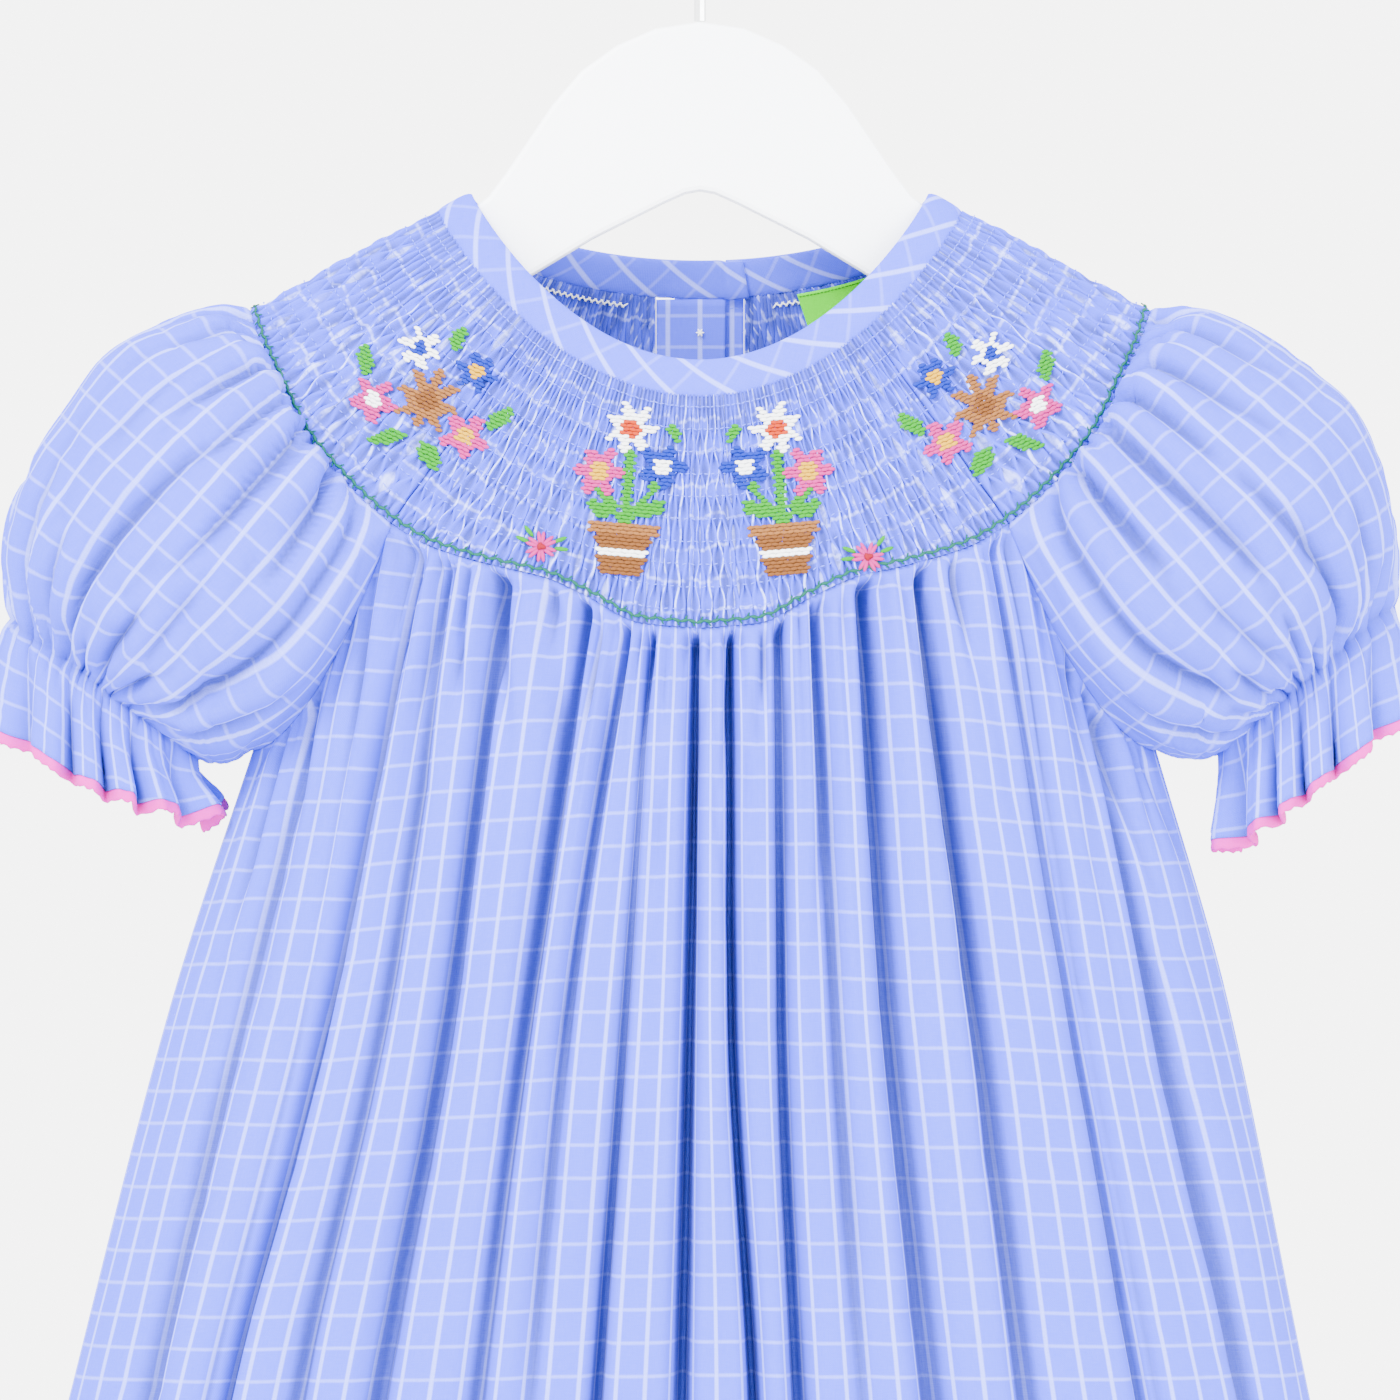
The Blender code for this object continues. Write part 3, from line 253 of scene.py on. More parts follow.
# Fine pleats and coarser ones round a sleeve
SHOULDER_PLEATS = (46, 26)
ELASTIC_PLEATS = (40, 22)
FRILL_WAVES = 11
FRILL_WAVE = 4.0
EDGING_WIDTH = 3.6
EDGING_THICK = 1.3

YOKE_SEAM_TURNS = (
    # x, y, z
    (0.0, -1.0, 0.05),
    (0.25, -0.9, 0.30),
    (0.50, 0.0, 0.87),
)
RAGLAN_TURNS = (
    # x, y, z
    (0.25, -0.9, 0.30),
    (0.10, -0.95, -0.20),
    (0.75, 0.0, -0.66),
)

# Back opening and label
PLACKET_HALF = 12.0
PLACKET_LAP = 7.0
PLACKET_BELOW_YOKE = 46.0
PLACKET_THICK = 0.9
BUTTON_DROPS = (9.0, 48.0, 87.0)
LABEL_HEIGHT = 17.0
LABEL_X = 28.0

# A sheet's smallest side, in metres, and its smallest share of its own rectangle
SMALLEST_SIDE = 0.0102
SMALLEST_SHARE = 0.31

# Resolution of the cloth
FOLD_COLUMNS = 40
FRONT_GRID = (112, 400)
BACK_GRID = (96, 320)
SLEEVE_GRID = (64, 240)
FRILL_ROWS = 16

# Check of the cotton, in metres
CHECK_REPEAT = 0.0088
WARP_WIDTH = 0.00125
WEFT_WIDTH = 0.00085
WARP_SHARE = 0.44
WEFT_SHARE = 0.27
THREAD_PITCH = 0.00062

# Colours, linear
COTTON_BLUE = (0.021, 0.035, 0.72)
# Painted shade: the deep blue that the cotton is mixed towards in its folds and hollows
COTTON_PAINTED_SHADE = (0.002, 0.007, 0.25)
COTTON_WHITE = (0.42, 0.50, 0.97)
THREAD_COLOURS = {
    "green": (0.003, 0.070, 0.045),
    "leaf": (0.010, 0.19, 0.005),
    "tan": (0.12, 0.042, 0.009),
    "sand": (0.18, 0.070, 0.018),
    "pink": (0.36, 0.010, 0.15),
    "rose": (0.20, 0.001, 0.012),
    "blue": (0.001, 0.013, 0.26),
    "white": (0.78, 0.80, 0.82),
    "coral": (0.34, 0.026, 0.003),
    "yellow": (0.46, 0.24, 0.003),
    "cotton": (0.10, 0.14, 0.84),
}


# Curves and grids

def smooth(at, knots, values):
    """Values between knots on a smooth curve that never overshoots them."""
    at = np.asarray(at, float)
    knots = np.asarray(knots, float)
    values = np.asarray(values, float)
    step = np.diff(knots)
    slope = np.diff(values) / step
    tangent = np.empty(len(knots))
    tangent[0], tangent[-1] = slope[0], slope[-1]
    before, after = slope[:-1], slope[1:]
    same = before * after > 0
    total = np.where(same, before + after, 1.0)
    tangent[1:-1] = np.where(same, 2 * before * after / total, 0.0)
    i = np.clip(np.searchsorted(knots, at) - 1, 0, len(knots) - 2)
    u = np.clip((at - knots[i]) / step[i], 0, 1)
    rise = values[i + 1] - values[i]
    start, end = tangent[i] * step[i], tangent[i + 1] * step[i]
    curve = u * u * (3 - 2 * u) * rise
    return values[i] + curve + u * (1 - u) ** 2 * start - u * u * (1 - u) * end


def ease(t):
    t = np.clip(t, 0, 1)
    return t * t * (3 - 2 * t)


def bump(distance):
    """1 at the middle, falling softly to 0 one unit away."""
    return 0.5 * (1 + np.cos(math.pi * np.clip(np.abs(distance), 0, 1)))


def lengths(points):
    """Length along a line of points, from its start to each point."""
    steps = np.linalg.norm(np.diff(points, axis=0), axis=1)
    return np.concatenate([[0.0], np.cumsum(steps)])


def along(points, shares):
    """Points at these shares of a line's length."""
    at = lengths(points)
    where = np.asarray(shares) * at[-1]
    return np.stack([np.interp(where, at, points[:, k]) for k in range(3)], axis=-1)


def unit(vectors):
    return vectors / np.maximum(np.linalg.norm(vectors, axis=-1, keepdims=True), 1e-9)


def grid_normals(grid, closed=False):
    """Unit normals of a grid: down its rows crossed with along them."""
    if closed:
        wide = np.roll(grid, -1, axis=1) - np.roll(grid, 1, axis=1)
    else:
        wide = np.gradient(grid, axis=1)
    return unit(np.cross(np.gradient(grid, axis=0), wide))


def wander(u, v, seed, wrap=0):
    """Soft random values from -1 to 1 over a plane; wrap makes them meet after that many units."""
    u, v = np.broadcast_arrays(np.asarray(u, float), np.asarray(v, float))
    lattice = np.random.default_rng(seed).uniform(-1, 1, (64, 64))
    i, j = np.floor(u).astype(int), np.floor(v).astype(int)
    fu, fv = ease(u - i), ease(v - j)
    period = wrap if wrap else 64
    i0, i1 = np.mod(i, period) % 64, np.mod(i + 1, period) % 64
    j0, j1 = np.mod(j, 64), np.mod(j + 1, 64)
    low = lattice[i0, j0] * (1 - fu) + lattice[i1, j0] * fu
    high = lattice[i0, j1] * (1 - fu) + lattice[i1, j1] * fu
    return low * (1 - fv) + high * fv


def crumple(u, v, seed, wrap=0):
    """Sharp little creases between soft flat places, from 0 to 1."""
    return (1 - np.abs(wander(u, v, seed, wrap))) ** 5


def cavity(height, reach, closed=False):
    """How far each place lies below the cloth to both sides of it."""
    kernel = np.hanning(2 * reach + 3)[1:-1]
    padded = np.pad(height, ((0, 0), (reach, reach)), mode="wrap" if closed else "edge")
    soft = [np.convolve(row, kernel / kernel.sum(), mode="valid") for row in padded]
    return np.array(soft) - height


# Meshes

def mesh_piece(name, points, faces, material, uvs=None, painted_shade=None):
    """A mesh object from points in millimetres, with its cloth coordinates and the painted shade of its
    folds.
    """
    mesh = bpy.data.meshes.new(name)
    mesh.from_pydata((np.asarray(points) * MM).tolist(), [], faces)
    obj = bpy.data.objects.new(name, mesh)
    bpy.context.scene.collection.objects.link(obj)
    if uvs is not None:
        layer = mesh.uv_layers.new(name="cloth")
        layer.data.foreach_set("uv", (np.asarray(uvs) * MM).astype(np.float32).ravel())
    # Painted shade: how much darker each point is painted, kept as a point attribute for the cloth's
    # material
    if painted_shade is not None:
        depth = mesh.attributes.new("painted_shade", "FLOAT", "POINT")
        depth.data.foreach_set("value", np.asarray(painted_shade, np.float32).ravel())
    mesh.materials.append(material)
    mesh.shade_smooth()
    return obj


def cloth(name, grid, uv, painted_shade, material, closed=False, thick=CLOTH_THICK, flip=False):
    """A cloth shell: the grid is its outer face, and its thickness goes inwards."""
    rows, columns = grid.shape[:2]
    index = np.arange(rows * columns).reshape(rows, columns)
    a, b = index[:-1], index[1:]
    if closed:
        quads = np.stack([a, b, np.roll(b, -1, 1), np.roll(a, -1, 1)], axis=-1)
        wide = uv[:, :1] + (uv[:, -1:] - uv[:, :1]) * columns / (columns - 1)
        wide[..., 1] = uv[:, :1, 1]
        right = np.concatenate([uv[:, 1:], wide], axis=1)
        corners = np.stack([uv[:-1], uv[1:], right[1:], right[:-1]], axis=2)
    else:
        quads = np.stack([a[:, :-1], b[:, :-1], b[:, 1:], a[:, 1:]], axis=-1)
        corners = np.stack([uv[:-1, :-1], uv[1:, :-1], uv[1:, 1:], uv[:-1, 1:]], axis=2)
    quads = quads.reshape(-1, 4)
    corners = corners.reshape(-1, 4, 2)
    if flip:
        quads, corners = quads[:, ::-1], corners[:, ::-1]
    obj = mesh_piece(name, grid.reshape(-1, 3), quads.tolist(), material, corners, painted_shade)
    shell = obj.modifiers.new("thickness", "SOLIDIFY")
    shell.thickness = thick * MM
    shell.offset = -1
    return obj


def capsule():
    """A small padded stitch along X, as points and faces."""
    rings = ((-0.5, 0.0), (-0.34, 0.72), (0.0, 1.0), (0.34, 0.72), (0.5, 0.0))
    sides = 6
    points = [(rings[0][0], 0.0, 0.0)]
    for x, r in rings[1:-1]:
        for k in range(sides):
            turn = 2 * math.pi * k / sides
            points.append((x, r * math.cos(turn) / 2, r * math.sin(turn) / 2))
    points.append((rings[-1][0], 0.0, 0.0))
    faces = []
    last = len(points) - 1
    for k in range(sides):
        n = (k + 1) % sides
        faces.append((0, 1 + n, 1 + k))
        for ring in range(2):
            base = 1 + ring * sides
            faces.append((base + k, base + n, base + sides + n, base + sides + k))
        faces.append((last, last - sides + k, last - sides + n))
    return np.array(points), faces


STITCH_POINTS, STITCH_FACES = capsule()


def stitches(name, places, ways, ups, size, material):
    """One mesh of many stitches; size gives each one's length, width and height."""
    places, ways = np.asarray(places, float), unit(np.asarray(ways, float))
    ups = np.asarray(ups, float)
    size = np.broadcast_to(np.asarray(size, float), (len(places), 3))
    ups = unit(ups - ways * np.sum(ups * ways, axis=1, keepdims=True))
    across = np.cross(ups, ways)
    shape = STITCH_POINTS[None] * size[:, None]
    points = (
        places[:, None]
        + shape[..., :1] * ways[:, None]
        + shape[..., 1:2] * across[:, None]
        + shape[..., 2:] * ups[:, None]
    )
    count = len(STITCH_POINTS)
    faces = [tuple(i + k * count for i in face) for k in range(len(places)) for face in STITCH_FACES]
    return mesh_piece(name, points.reshape(-1, 3), faces, material)


def finish_piece(obj, nodes=()):
    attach(obj, "root")
    if nodes:
        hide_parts(*nodes)
    return obj


def declare_sheet(grid, closed=False):
    """Works out the width, length and area of cloth that its grid takes, and keeps none of them."""
    if closed:
        grid = np.concatenate([grid, grid[:, :1]], axis=1)
    wide = np.linalg.norm(np.diff(grid, axis=1), axis=2)
    tall = np.linalg.norm(np.diff(grid, axis=0), axis=2)
    sides = np.cross(grid[1:, 1:] - grid[:-1, :-1], grid[1:, :-1] - grid[:-1, 1:])
    area = np.linalg.norm(sides, axis=2).sum() / 2 * MM * MM
    width = max(wide.sum(axis=1).max() * MM, SMALLEST_SIDE)
    length = max(tall.sum(axis=0).max() * MM, SMALLEST_SIDE)
    area = min(max(area, SMALLEST_SHARE * width * length), width * length)


# Shader nodes

def node(tree, kind, values=None, **settings):
    made = tree.nodes.new(kind)
    for key, value in settings.items():
        setattr(made, key, value)
    for key, value in (values or {}).items():
        made.inputs[key].default_value = value
    return made


def maths(tree, operation, first, second=None):
    made = node(tree, "ShaderNodeMath", operation=operation)
    for k, value in enumerate((first, second)):
        if value is None:
            continue
        if isinstance(value, (int, float)):
            made.inputs[k].default_value = value
        else:
            tree.links.new(value, made.inputs[k])
    return made.outputs[0]


def new_material(name, colour, roughness, sheen=0.0, metallic=0.0, gloss=0.5):
    made = bpy.data.materials.new(name)
    made.use_nodes = True
    made.diffuse_color = (*colour, 1.0)
    shader = made.node_tree.nodes["Principled BSDF"]
    shader.inputs["Base Color"].default_value = (*colour, 1.0)
    shader.inputs["Roughness"].default_value = roughness
    shader.inputs["Metallic"].default_value = metallic
    shader.inputs["Specular IOR Level"].default_value = gloss
    shader.inputs["Sheen Weight"].default_value = sheen
    shader.inputs["Sheen Roughness"].default_value = 0.5
    return made, made.node_tree, shader


def check_line(tree, along_cloth, repeat, width, soft):
    """A mask of lines that repeat along one direction of the cloth."""
    place = maths(tree, "FRACT", maths(tree, "DIVIDE", along_cloth, repeat))
    away = maths(tree, "ABSOLUTE", maths(tree, "SUBTRACT", place, 0.5))
    half = maths(tree, "DIVIDE", maths(tree, "MULTIPLY", width, 0.5), repeat)
    edge = maths(tree, "DIVIDE", maths(tree, "SUBTRACT", half, away), soft)
    made = node(tree, "ShaderNodeClamp")
    tree.links.new(maths(tree, "ADD", edge, 0.5), made.inputs[0])
    return made.outputs[0]


def check_group():
    """Woven windowpane check: masks of its warp and weft lines, slub streaks and thread relief."""
    tree = bpy.data.node_groups.new("woven_check", "ShaderNodeTree")
    face = tree.interface
    face.new_socket("Cloth", in_out="INPUT", socket_type="NodeSocketVector")
    for name in ("Repeat", "Warp Width", "Weft Width"):
        face.new_socket(name, in_out="INPUT", socket_type="NodeSocketFloat")
    for name in ("Warp", "Weft", "Streak", "Relief"):
        face.new_socket(name, in_out="OUTPUT", socket_type="NodeSocketFloat")
    given, put = node(tree, "NodeGroupInput"), node(tree, "NodeGroupOutput")
    split = node(tree, "ShaderNodeSeparateXYZ")
    tree.links.new(given.outputs["Cloth"], split.inputs[0])
    u, v = split.outputs[0], split.outputs[1]
    repeat = given.outputs["Repeat"]
    warp = check_line(tree, u, repeat, given.outputs["Warp Width"], 0.045)
    weft = check_line(tree, v, repeat, given.outputs["Weft Width"], 0.05)
    streaks = []
    for stretch in ((4200.0, 260.0, 1.0), (260.0, 4200.0, 1.0)):
        turn = node(tree, "ShaderNodeMapping", {"Scale": stretch})
        noise = node(tree, "ShaderNodeTexNoise", {"Scale": 1.0, "Detail": 2.0})
        tree.links.new(given.outputs["Cloth"], turn.inputs["Vector"])
        tree.links.new(turn.outputs[0], noise.inputs["Vector"])
        streaks.append(noise.outputs["Fac"])
    slub_and_shade_streak = maths(tree, "MULTIPLY", maths(tree, "ADD", *streaks), 0.5)
    waves = []
    for direction in (u, v):
        waves.append(maths(tree, "SINE", maths(tree, "MULTIPLY", direction, 2 * math.pi / THREAD_PITCH)))
    relief = maths(tree, "ADD", maths(tree, "MULTIPLY", *waves), maths(tree, "MULTIPLY", slub_and_shade_streak, 1.6))
    for name, value in (("Warp", warp), ("Weft", weft), ("Streak", slub_and_shade_streak), ("Relief", relief)):
        tree.links.new(value, put.inputs[name])
    return tree


CHECK_GROUP = check_group()


def mix_colour(tree, factor, first, second):
    made = node(tree, "ShaderNodeMix", data_type="RGBA")
    for socket, value in ((made.inputs[0], factor), (made.inputs[6], first), (made.inputs[7], second)):
        if isinstance(value, tuple):
            socket.default_value = (*value, 1.0)
        elif isinstance(value, (int, float)):
            socket.default_value = value
        else:
            tree.links.new(value, socket)
    return made.outputs[2]


def cotton(name, turn_degrees=0.0, painted_shade_share=0.9, line_share=1.0, weft_share=WEFT_SHARE, broken=0.0):
    """The blue cotton with its white check, darkened by painted shade in its folds, where its lines are
    dimmed too.
    """
    made, tree, shader = new_material(name, COTTON_BLUE, 0.86, sheen=0.01, gloss=0.05)
    uv = node(tree, "ShaderNodeUVMap", uv_map="cloth")
    turn = node(tree, "ShaderNodeMapping", {"Rotation": (0, 0, math.radians(turn_degrees))})
    tree.links.new(uv.outputs[0], turn.inputs["Vector"])
    weave = node(tree, "ShaderNodeGroup")
    weave.node_tree = CHECK_GROUP
    weave.inputs["Repeat"].default_value = CHECK_REPEAT
    weave.inputs["Warp Width"].default_value = WARP_WIDTH
    weave.inputs["Weft Width"].default_value = WEFT_WIDTH
    tree.links.new(turn.outputs[0], weave.inputs["Cloth"])
    painted_shade = node(tree, "ShaderNodeAttribute", attribute_name="painted_shade")
    coords = node(tree, "ShaderNodeTexCoord")
    patch = node(tree, "ShaderNodeTexNoise", {"Scale": 55.0, "Detail": 3.0})
    tree.links.new(coords.outputs["Object"], patch.inputs["Vector"])
    # Painted shade read from the mesh, darker in the folds, plus random mottled patches of tone from the
    # patch noise
    depth = maths(tree, "MULTIPLY", painted_shade.outputs["Fac"], painted_shade_share)
    shade = maths(tree, "ADD", depth, maths(tree, "MULTIPLY", patch.outputs["Fac"], 0.10))
    ground = mix_colour(tree, shade, COTTON_BLUE, COTTON_PAINTED_SHADE)
    soft = maths(tree, "MULTIPLY", weave.outputs["Streak"], 0.13)
    ground = mix_colour(tree, soft, ground, COTTON_WHITE)
    uneven = maths(tree, "ADD", maths(tree, "MULTIPLY", weave.outputs["Streak"], 0.7), 0.50)
    warp = maths(tree, "MULTIPLY", weave.outputs["Warp"], WARP_SHARE * line_share)
    warp = maths(tree, "MULTIPLY", warp, uneven)
    weft = maths(tree, "MULTIPLY", weave.outputs["Weft"], weft_share * line_share)
    weft = maths(tree, "MULTIPLY", weft, uneven)
    # Painted shade: the white lines are dimmed where the cloth lies in a fold
    line_brightness_under_painted_shade = maths(tree, "SUBTRACT", 1.0, maths(tree, "MULTIPLY", painted_shade.outputs["Fac"], 0.72))
    line = maths(tree, "MULTIPLY", maths(tree, "MAXIMUM", warp, weft), line_brightness_under_painted_shade)
    gap = node(tree, "ShaderNodeTexNoise", {"Scale": 330.0, "Detail": 2.0})
    tree.links.new(coords.outputs["Object"], gap.inputs["Vector"])
    kept = node(tree, "ShaderNodeMapRange", {"From Min": 0.40, "From Max": 0.56, "To Min": 1.0 - broken})
    tree.links.new(gap.outputs["Fac"], kept.inputs["Value"])
    line = maths(tree, "MULTIPLY", line, kept.outputs[0])
    both = maths(tree, "ADD", line, maths(tree, "MULTIPLY", maths(tree, "MULTIPLY", warp, weft), 0.6))
    colour = mix_colour(tree, both, ground, COTTON_WHITE)
    tree.links.new(colour, shader.inputs["Base Color"])
    relief = node(tree, "ShaderNodeBump", {"Strength": 0.25, "Distance": 0.00012})
    tree.links.new(weave.outputs["Relief"], relief.inputs["Height"])
    tree.links.new(relief.outputs[0], shader.inputs["Normal"])
    return made


def thread(name, colour):
    """Stranded embroidery cotton: fine twisted strands with a soft shine."""
    made, tree, shader = new_material(f"thread_{name}", colour, 0.6, sheen=0.01, gloss=0.1)
    coords = node(tree, "ShaderNodeTexCoord")
    strands = node(tree, "ShaderNodeTexNoise", {"Scale": 2600.0, "Detail": 2.0})
    tree.links.new(coords.outputs["Object"], strands.inputs["Vector"])
    dark = tuple(c * 0.72 for c in colour)
    tree.links.new(mix_colour(tree, strands.outputs["Fac"], dark, colour), shader.inputs["Base Color"])
    relief = node(tree, "ShaderNodeBump", {"Strength": 0.4, "Distance": 0.0001})
    tree.links.new(strands.outputs["Fac"], relief.inputs["Height"])
    tree.links.new(relief.outputs[0], shader.inputs["Normal"])
    return made


def woven(name, colour, roughness=0.8):
    """A plain woven tape or binding with fine cross threads."""
    made, tree, shader = new_material(name, colour, roughness, sheen=0.01, gloss=0.05)
    coords = node(tree, "ShaderNodeTexCoord")
    weave = node(tree, "ShaderNodeTexNoise", {"Scale": 1500.0, "Detail": 3.0})
    patch = node(tree, "ShaderNodeTexNoise", {"Scale": 90.0, "Detail": 2.0})
    for noise in (weave, patch):
        tree.links.new(coords.outputs["Object"], noise.inputs["Vector"])
    dark = tuple(c * 0.78 for c in colour)
    factor = maths(tree, "MULTIPLY", maths(tree, "ADD", weave.outputs["Fac"], patch.outputs["Fac"]), 0.7)
    tree.links.new(mix_colour(tree, factor, dark, colour), shader.inputs["Base Color"])
    relief = node(tree, "ShaderNodeBump", {"Strength": 0.5, "Distance": 0.00015})
    tree.links.new(weave.outputs["Fac"], relief.inputs["Height"])
    tree.links.new(relief.outputs[0], shader.inputs["Normal"])
    return made


def painted_board():
    """Smooth white paint with a faint roller texture."""
    made, tree, shader = new_material("white_paint", (0.86, 0.89, 0.93), 0.42)
    coords = node(tree, "ShaderNodeTexCoord")
    coat = node(tree, "ShaderNodeTexNoise", {"Scale": 420.0, "Detail": 3.0})
    broad = node(tree, "ShaderNodeTexNoise", {"Scale": 14.0, "Detail": 2.0})
    for noise in (coat, broad):
        tree.links.new(coords.outputs["Object"], noise.inputs["Vector"])
    colour = mix_colour(tree, broad.outputs["Fac"], (0.83, 0.87, 0.92), (0.90, 0.92, 0.95))
    tree.links.new(colour, shader.inputs["Base Color"])
    rough = maths(tree, "ADD", maths(tree, "MULTIPLY", coat.outputs["Fac"], 0.14), 0.36)
    tree.links.new(rough, shader.inputs["Roughness"])
    relief = node(tree, "ShaderNodeBump", {"Strength": 0.08, "Distance": 0.0002})
    tree.links.new(coat.outputs["Fac"], relief.inputs["Height"])
    tree.links.new(relief.outputs[0], shader.inputs["Normal"])
    return made


def hook_wire():
    """Nickel-plated wire with fine drawing marks."""
    made, tree, shader = new_material("plated_wire", (0.62, 0.63, 0.64), 0.25, metallic=1.0)
    coords = node(tree, "ShaderNodeTexCoord")
    marks = node(tree, "ShaderNodeTexNoise", {"Scale": 900.0, "Detail": 3.0})
    tree.links.new(coords.outputs["Object"], marks.inputs["Vector"])
    rough = maths(tree, "ADD", maths(tree, "MULTIPLY", marks.outputs["Fac"], 0.22), 0.14)
    tree.links.new(rough, shader.inputs["Roughness"])
    return made


def button_gloss():
    """Pearly white resin."""
    made, tree, shader = new_material("white_resin", (0.86, 0.86, 0.88), 0.22)
    coords = node(tree, "ShaderNodeTexCoord")
    cloud = node(tree, "ShaderNodeTexNoise", {"Scale": 260.0, "Detail": 2.0, "Distortion": 1.5})
    tree.links.new(coords.outputs["Object"], cloud.inputs["Vector"])
    colour = mix_colour(tree, cloud.outputs["Fac"], (0.78, 0.79, 0.84), (0.92, 0.91, 0.92))
    tree.links.new(colour, shader.inputs["Base Color"])
    shader.inputs["Coat Weight"].default_value = 0.4
    return made


COTTON = cotton("check_cotton")
COTTON_YOKE = cotton("check_cotton_smocked", painted_shade_share=1.0, line_share=2.1, broken=0.88)
COTTON_BIAS = cotton("check_cotton_bias", turn_degrees=52.0, weft_share=0.15)
PINK = woven("pink_binding", (0.52, 0.008, 0.30))
LABEL_GREEN = woven("label_green", (0.060, 0.55, 0.003), roughness=0.6)
THREADS = {name: thread(name, colour) for name, colour in THREAD_COLOURS.items()}


# Neck and yoke

def neck_ring(angle):
    """The neck's top edge on the +X side; angle runs from 0 at the front to pi at the back."""
    cosine = np.cos(angle)
    front = np.clip(cosine, 0, 1)
    back = np.clip(-cosine, 0, 1)
    x = NECK_HALF_WIDTH * np.sin(angle)
    y = -NECK_FRONT_DEPTH * front + NECK_BACK_DEPTH * back
    z = NECK_SIDE_Z - NECK_FRONT_DROP * front**1.8 - NECK_BACK_DROP * back**1.3
    return np.stack([x, y, z], axis=-1)


def half_rings(samples=400):
    neck = neck_ring(np.linspace(0, math.pi, samples))
    table = np.array(YOKE_EDGE)
    at = lengths(table)
    where = np.linspace(0, at[-1], samples)
    edge = np.stack([smooth(where, at, table[:, k]) for k in range(3)], axis=-1)
    return neck, edge


NECK_LINE, EDGE_LINE = half_rings()
EDGE_SHARES = lengths(EDGE_LINE) / lengths(EDGE_LINE)[-1]


def yoke_point(share, drop):
    """A point on the yoke: share is -1 to 1 round the ring with 0 at the front, drop 0 to 1."""
    share, drop = np.broadcast_arrays(np.asarray(share, float), np.asarray(drop, float))
    neck = along(NECK_LINE, np.abs(share))
    edge = along(EDGE_LINE, np.abs(share))
    point = neck + (edge - neck) * drop[..., None]
    level = np.abs(point[..., 1]) / NECK_BACK_DEPTH
    swell = YOKE_BULGE * 4 * drop * (1 - drop) * np.clip(level, 0, 1)
    point[..., 1] += np.sign(point[..., 1]) * swell
    point[..., 0] *= np.where(share < 0, -1, 1)
    return point


def yoke_normal(share, drop):
    step = 0.004
    around = yoke_point(share + step, drop) - yoke_point(share - step, drop)
    down = yoke_point(share, drop + step) - yoke_point(share, drop - step)
    return unit(np.cross(down, around))


def share_at(x, back=False):
    """How far round the yoke's lower edge its front or back half passes x."""
    shoulder = int(EDGE_LINE[:, 0].argmax())
    if back:
        return np.interp(-np.asarray(x), -EDGE_LINE[shoulder:, 0], EDGE_SHARES[shoulder:])
    return np.interp(x, EDGE_LINE[: shoulder + 1, 0], EDGE_SHARES[: shoulder + 1])


FRONT_SEAM = float(share_at(RAGLAN_X))
BACK_SEAM = float(share_at(RAGLAN_X, back=True))
SHOULDER = float(EDGE_SHARES[EDGE_LINE[:, 0].argmax()])


def seam_turns(at, turns, sides, back):
    """Which way the cloth's thickness runs at places along a seam, from 0 to 2."""
    table = np.array(turns)
    turn = np.stack([np.interp(at, np.arange(3), table[:, k]) for k in range(3)], axis=-1)
    turn[..., 0] *= sides
    turn[..., 1] *= np.where(back, -1, 1)
    return unit(turn)


def yoke_seam_turn(share):
    share = np.asarray(share, float)
    size = np.abs(share)
    front = np.interp(size, [0, FRONT_SEAM, SHOULDER], [0, 1, 2])
    rear = np.interp(size, [SHOULDER, BACK_SEAM, 1], [2, 1, 0])
    back = size > SHOULDER
    return seam_turns(np.where(back, rear, front), YOKE_SEAM_TURNS, np.where(share < 0, -1, 1), back)


def raglan_seam_turn(part, side, back):
    return seam_turns(2 * np.asarray(part, float), RAGLAN_TURNS, side, back)


def reach_of(share):
    """The yoke's depth there, from the neck's edge to its lower edge."""
    return np.linalg.norm(yoke_point(share, 1.0) - yoke_point(share, 0.0), axis=-1)


def opening_share(drop, half):
    """The share round the back where the yoke is half mm from the back centre."""
    neck, edge = lengths(NECK_LINE)[-1], lengths(EDGE_LINE)[-1]
    return 1 - half / (neck + (edge - neck) * drop)


def rib_height(rib, down, seed):
    """Height of the pleats: rib counts pleats across, down is mm below the neck's edge."""
    crest = bump((rib % 1.0 - 0.5) * 2) ** 0.85
    index = np.floor(rib)
    uneven = 1 + 0.28 * wander(index * 1.37, down / 7.0, seed)
    pinch = 1 - 0.20 * np.abs(np.cos(math.pi * down / SMOCKING_ROW)) ** 5
    return RIB_HEIGHT * crest * uneven * pinch


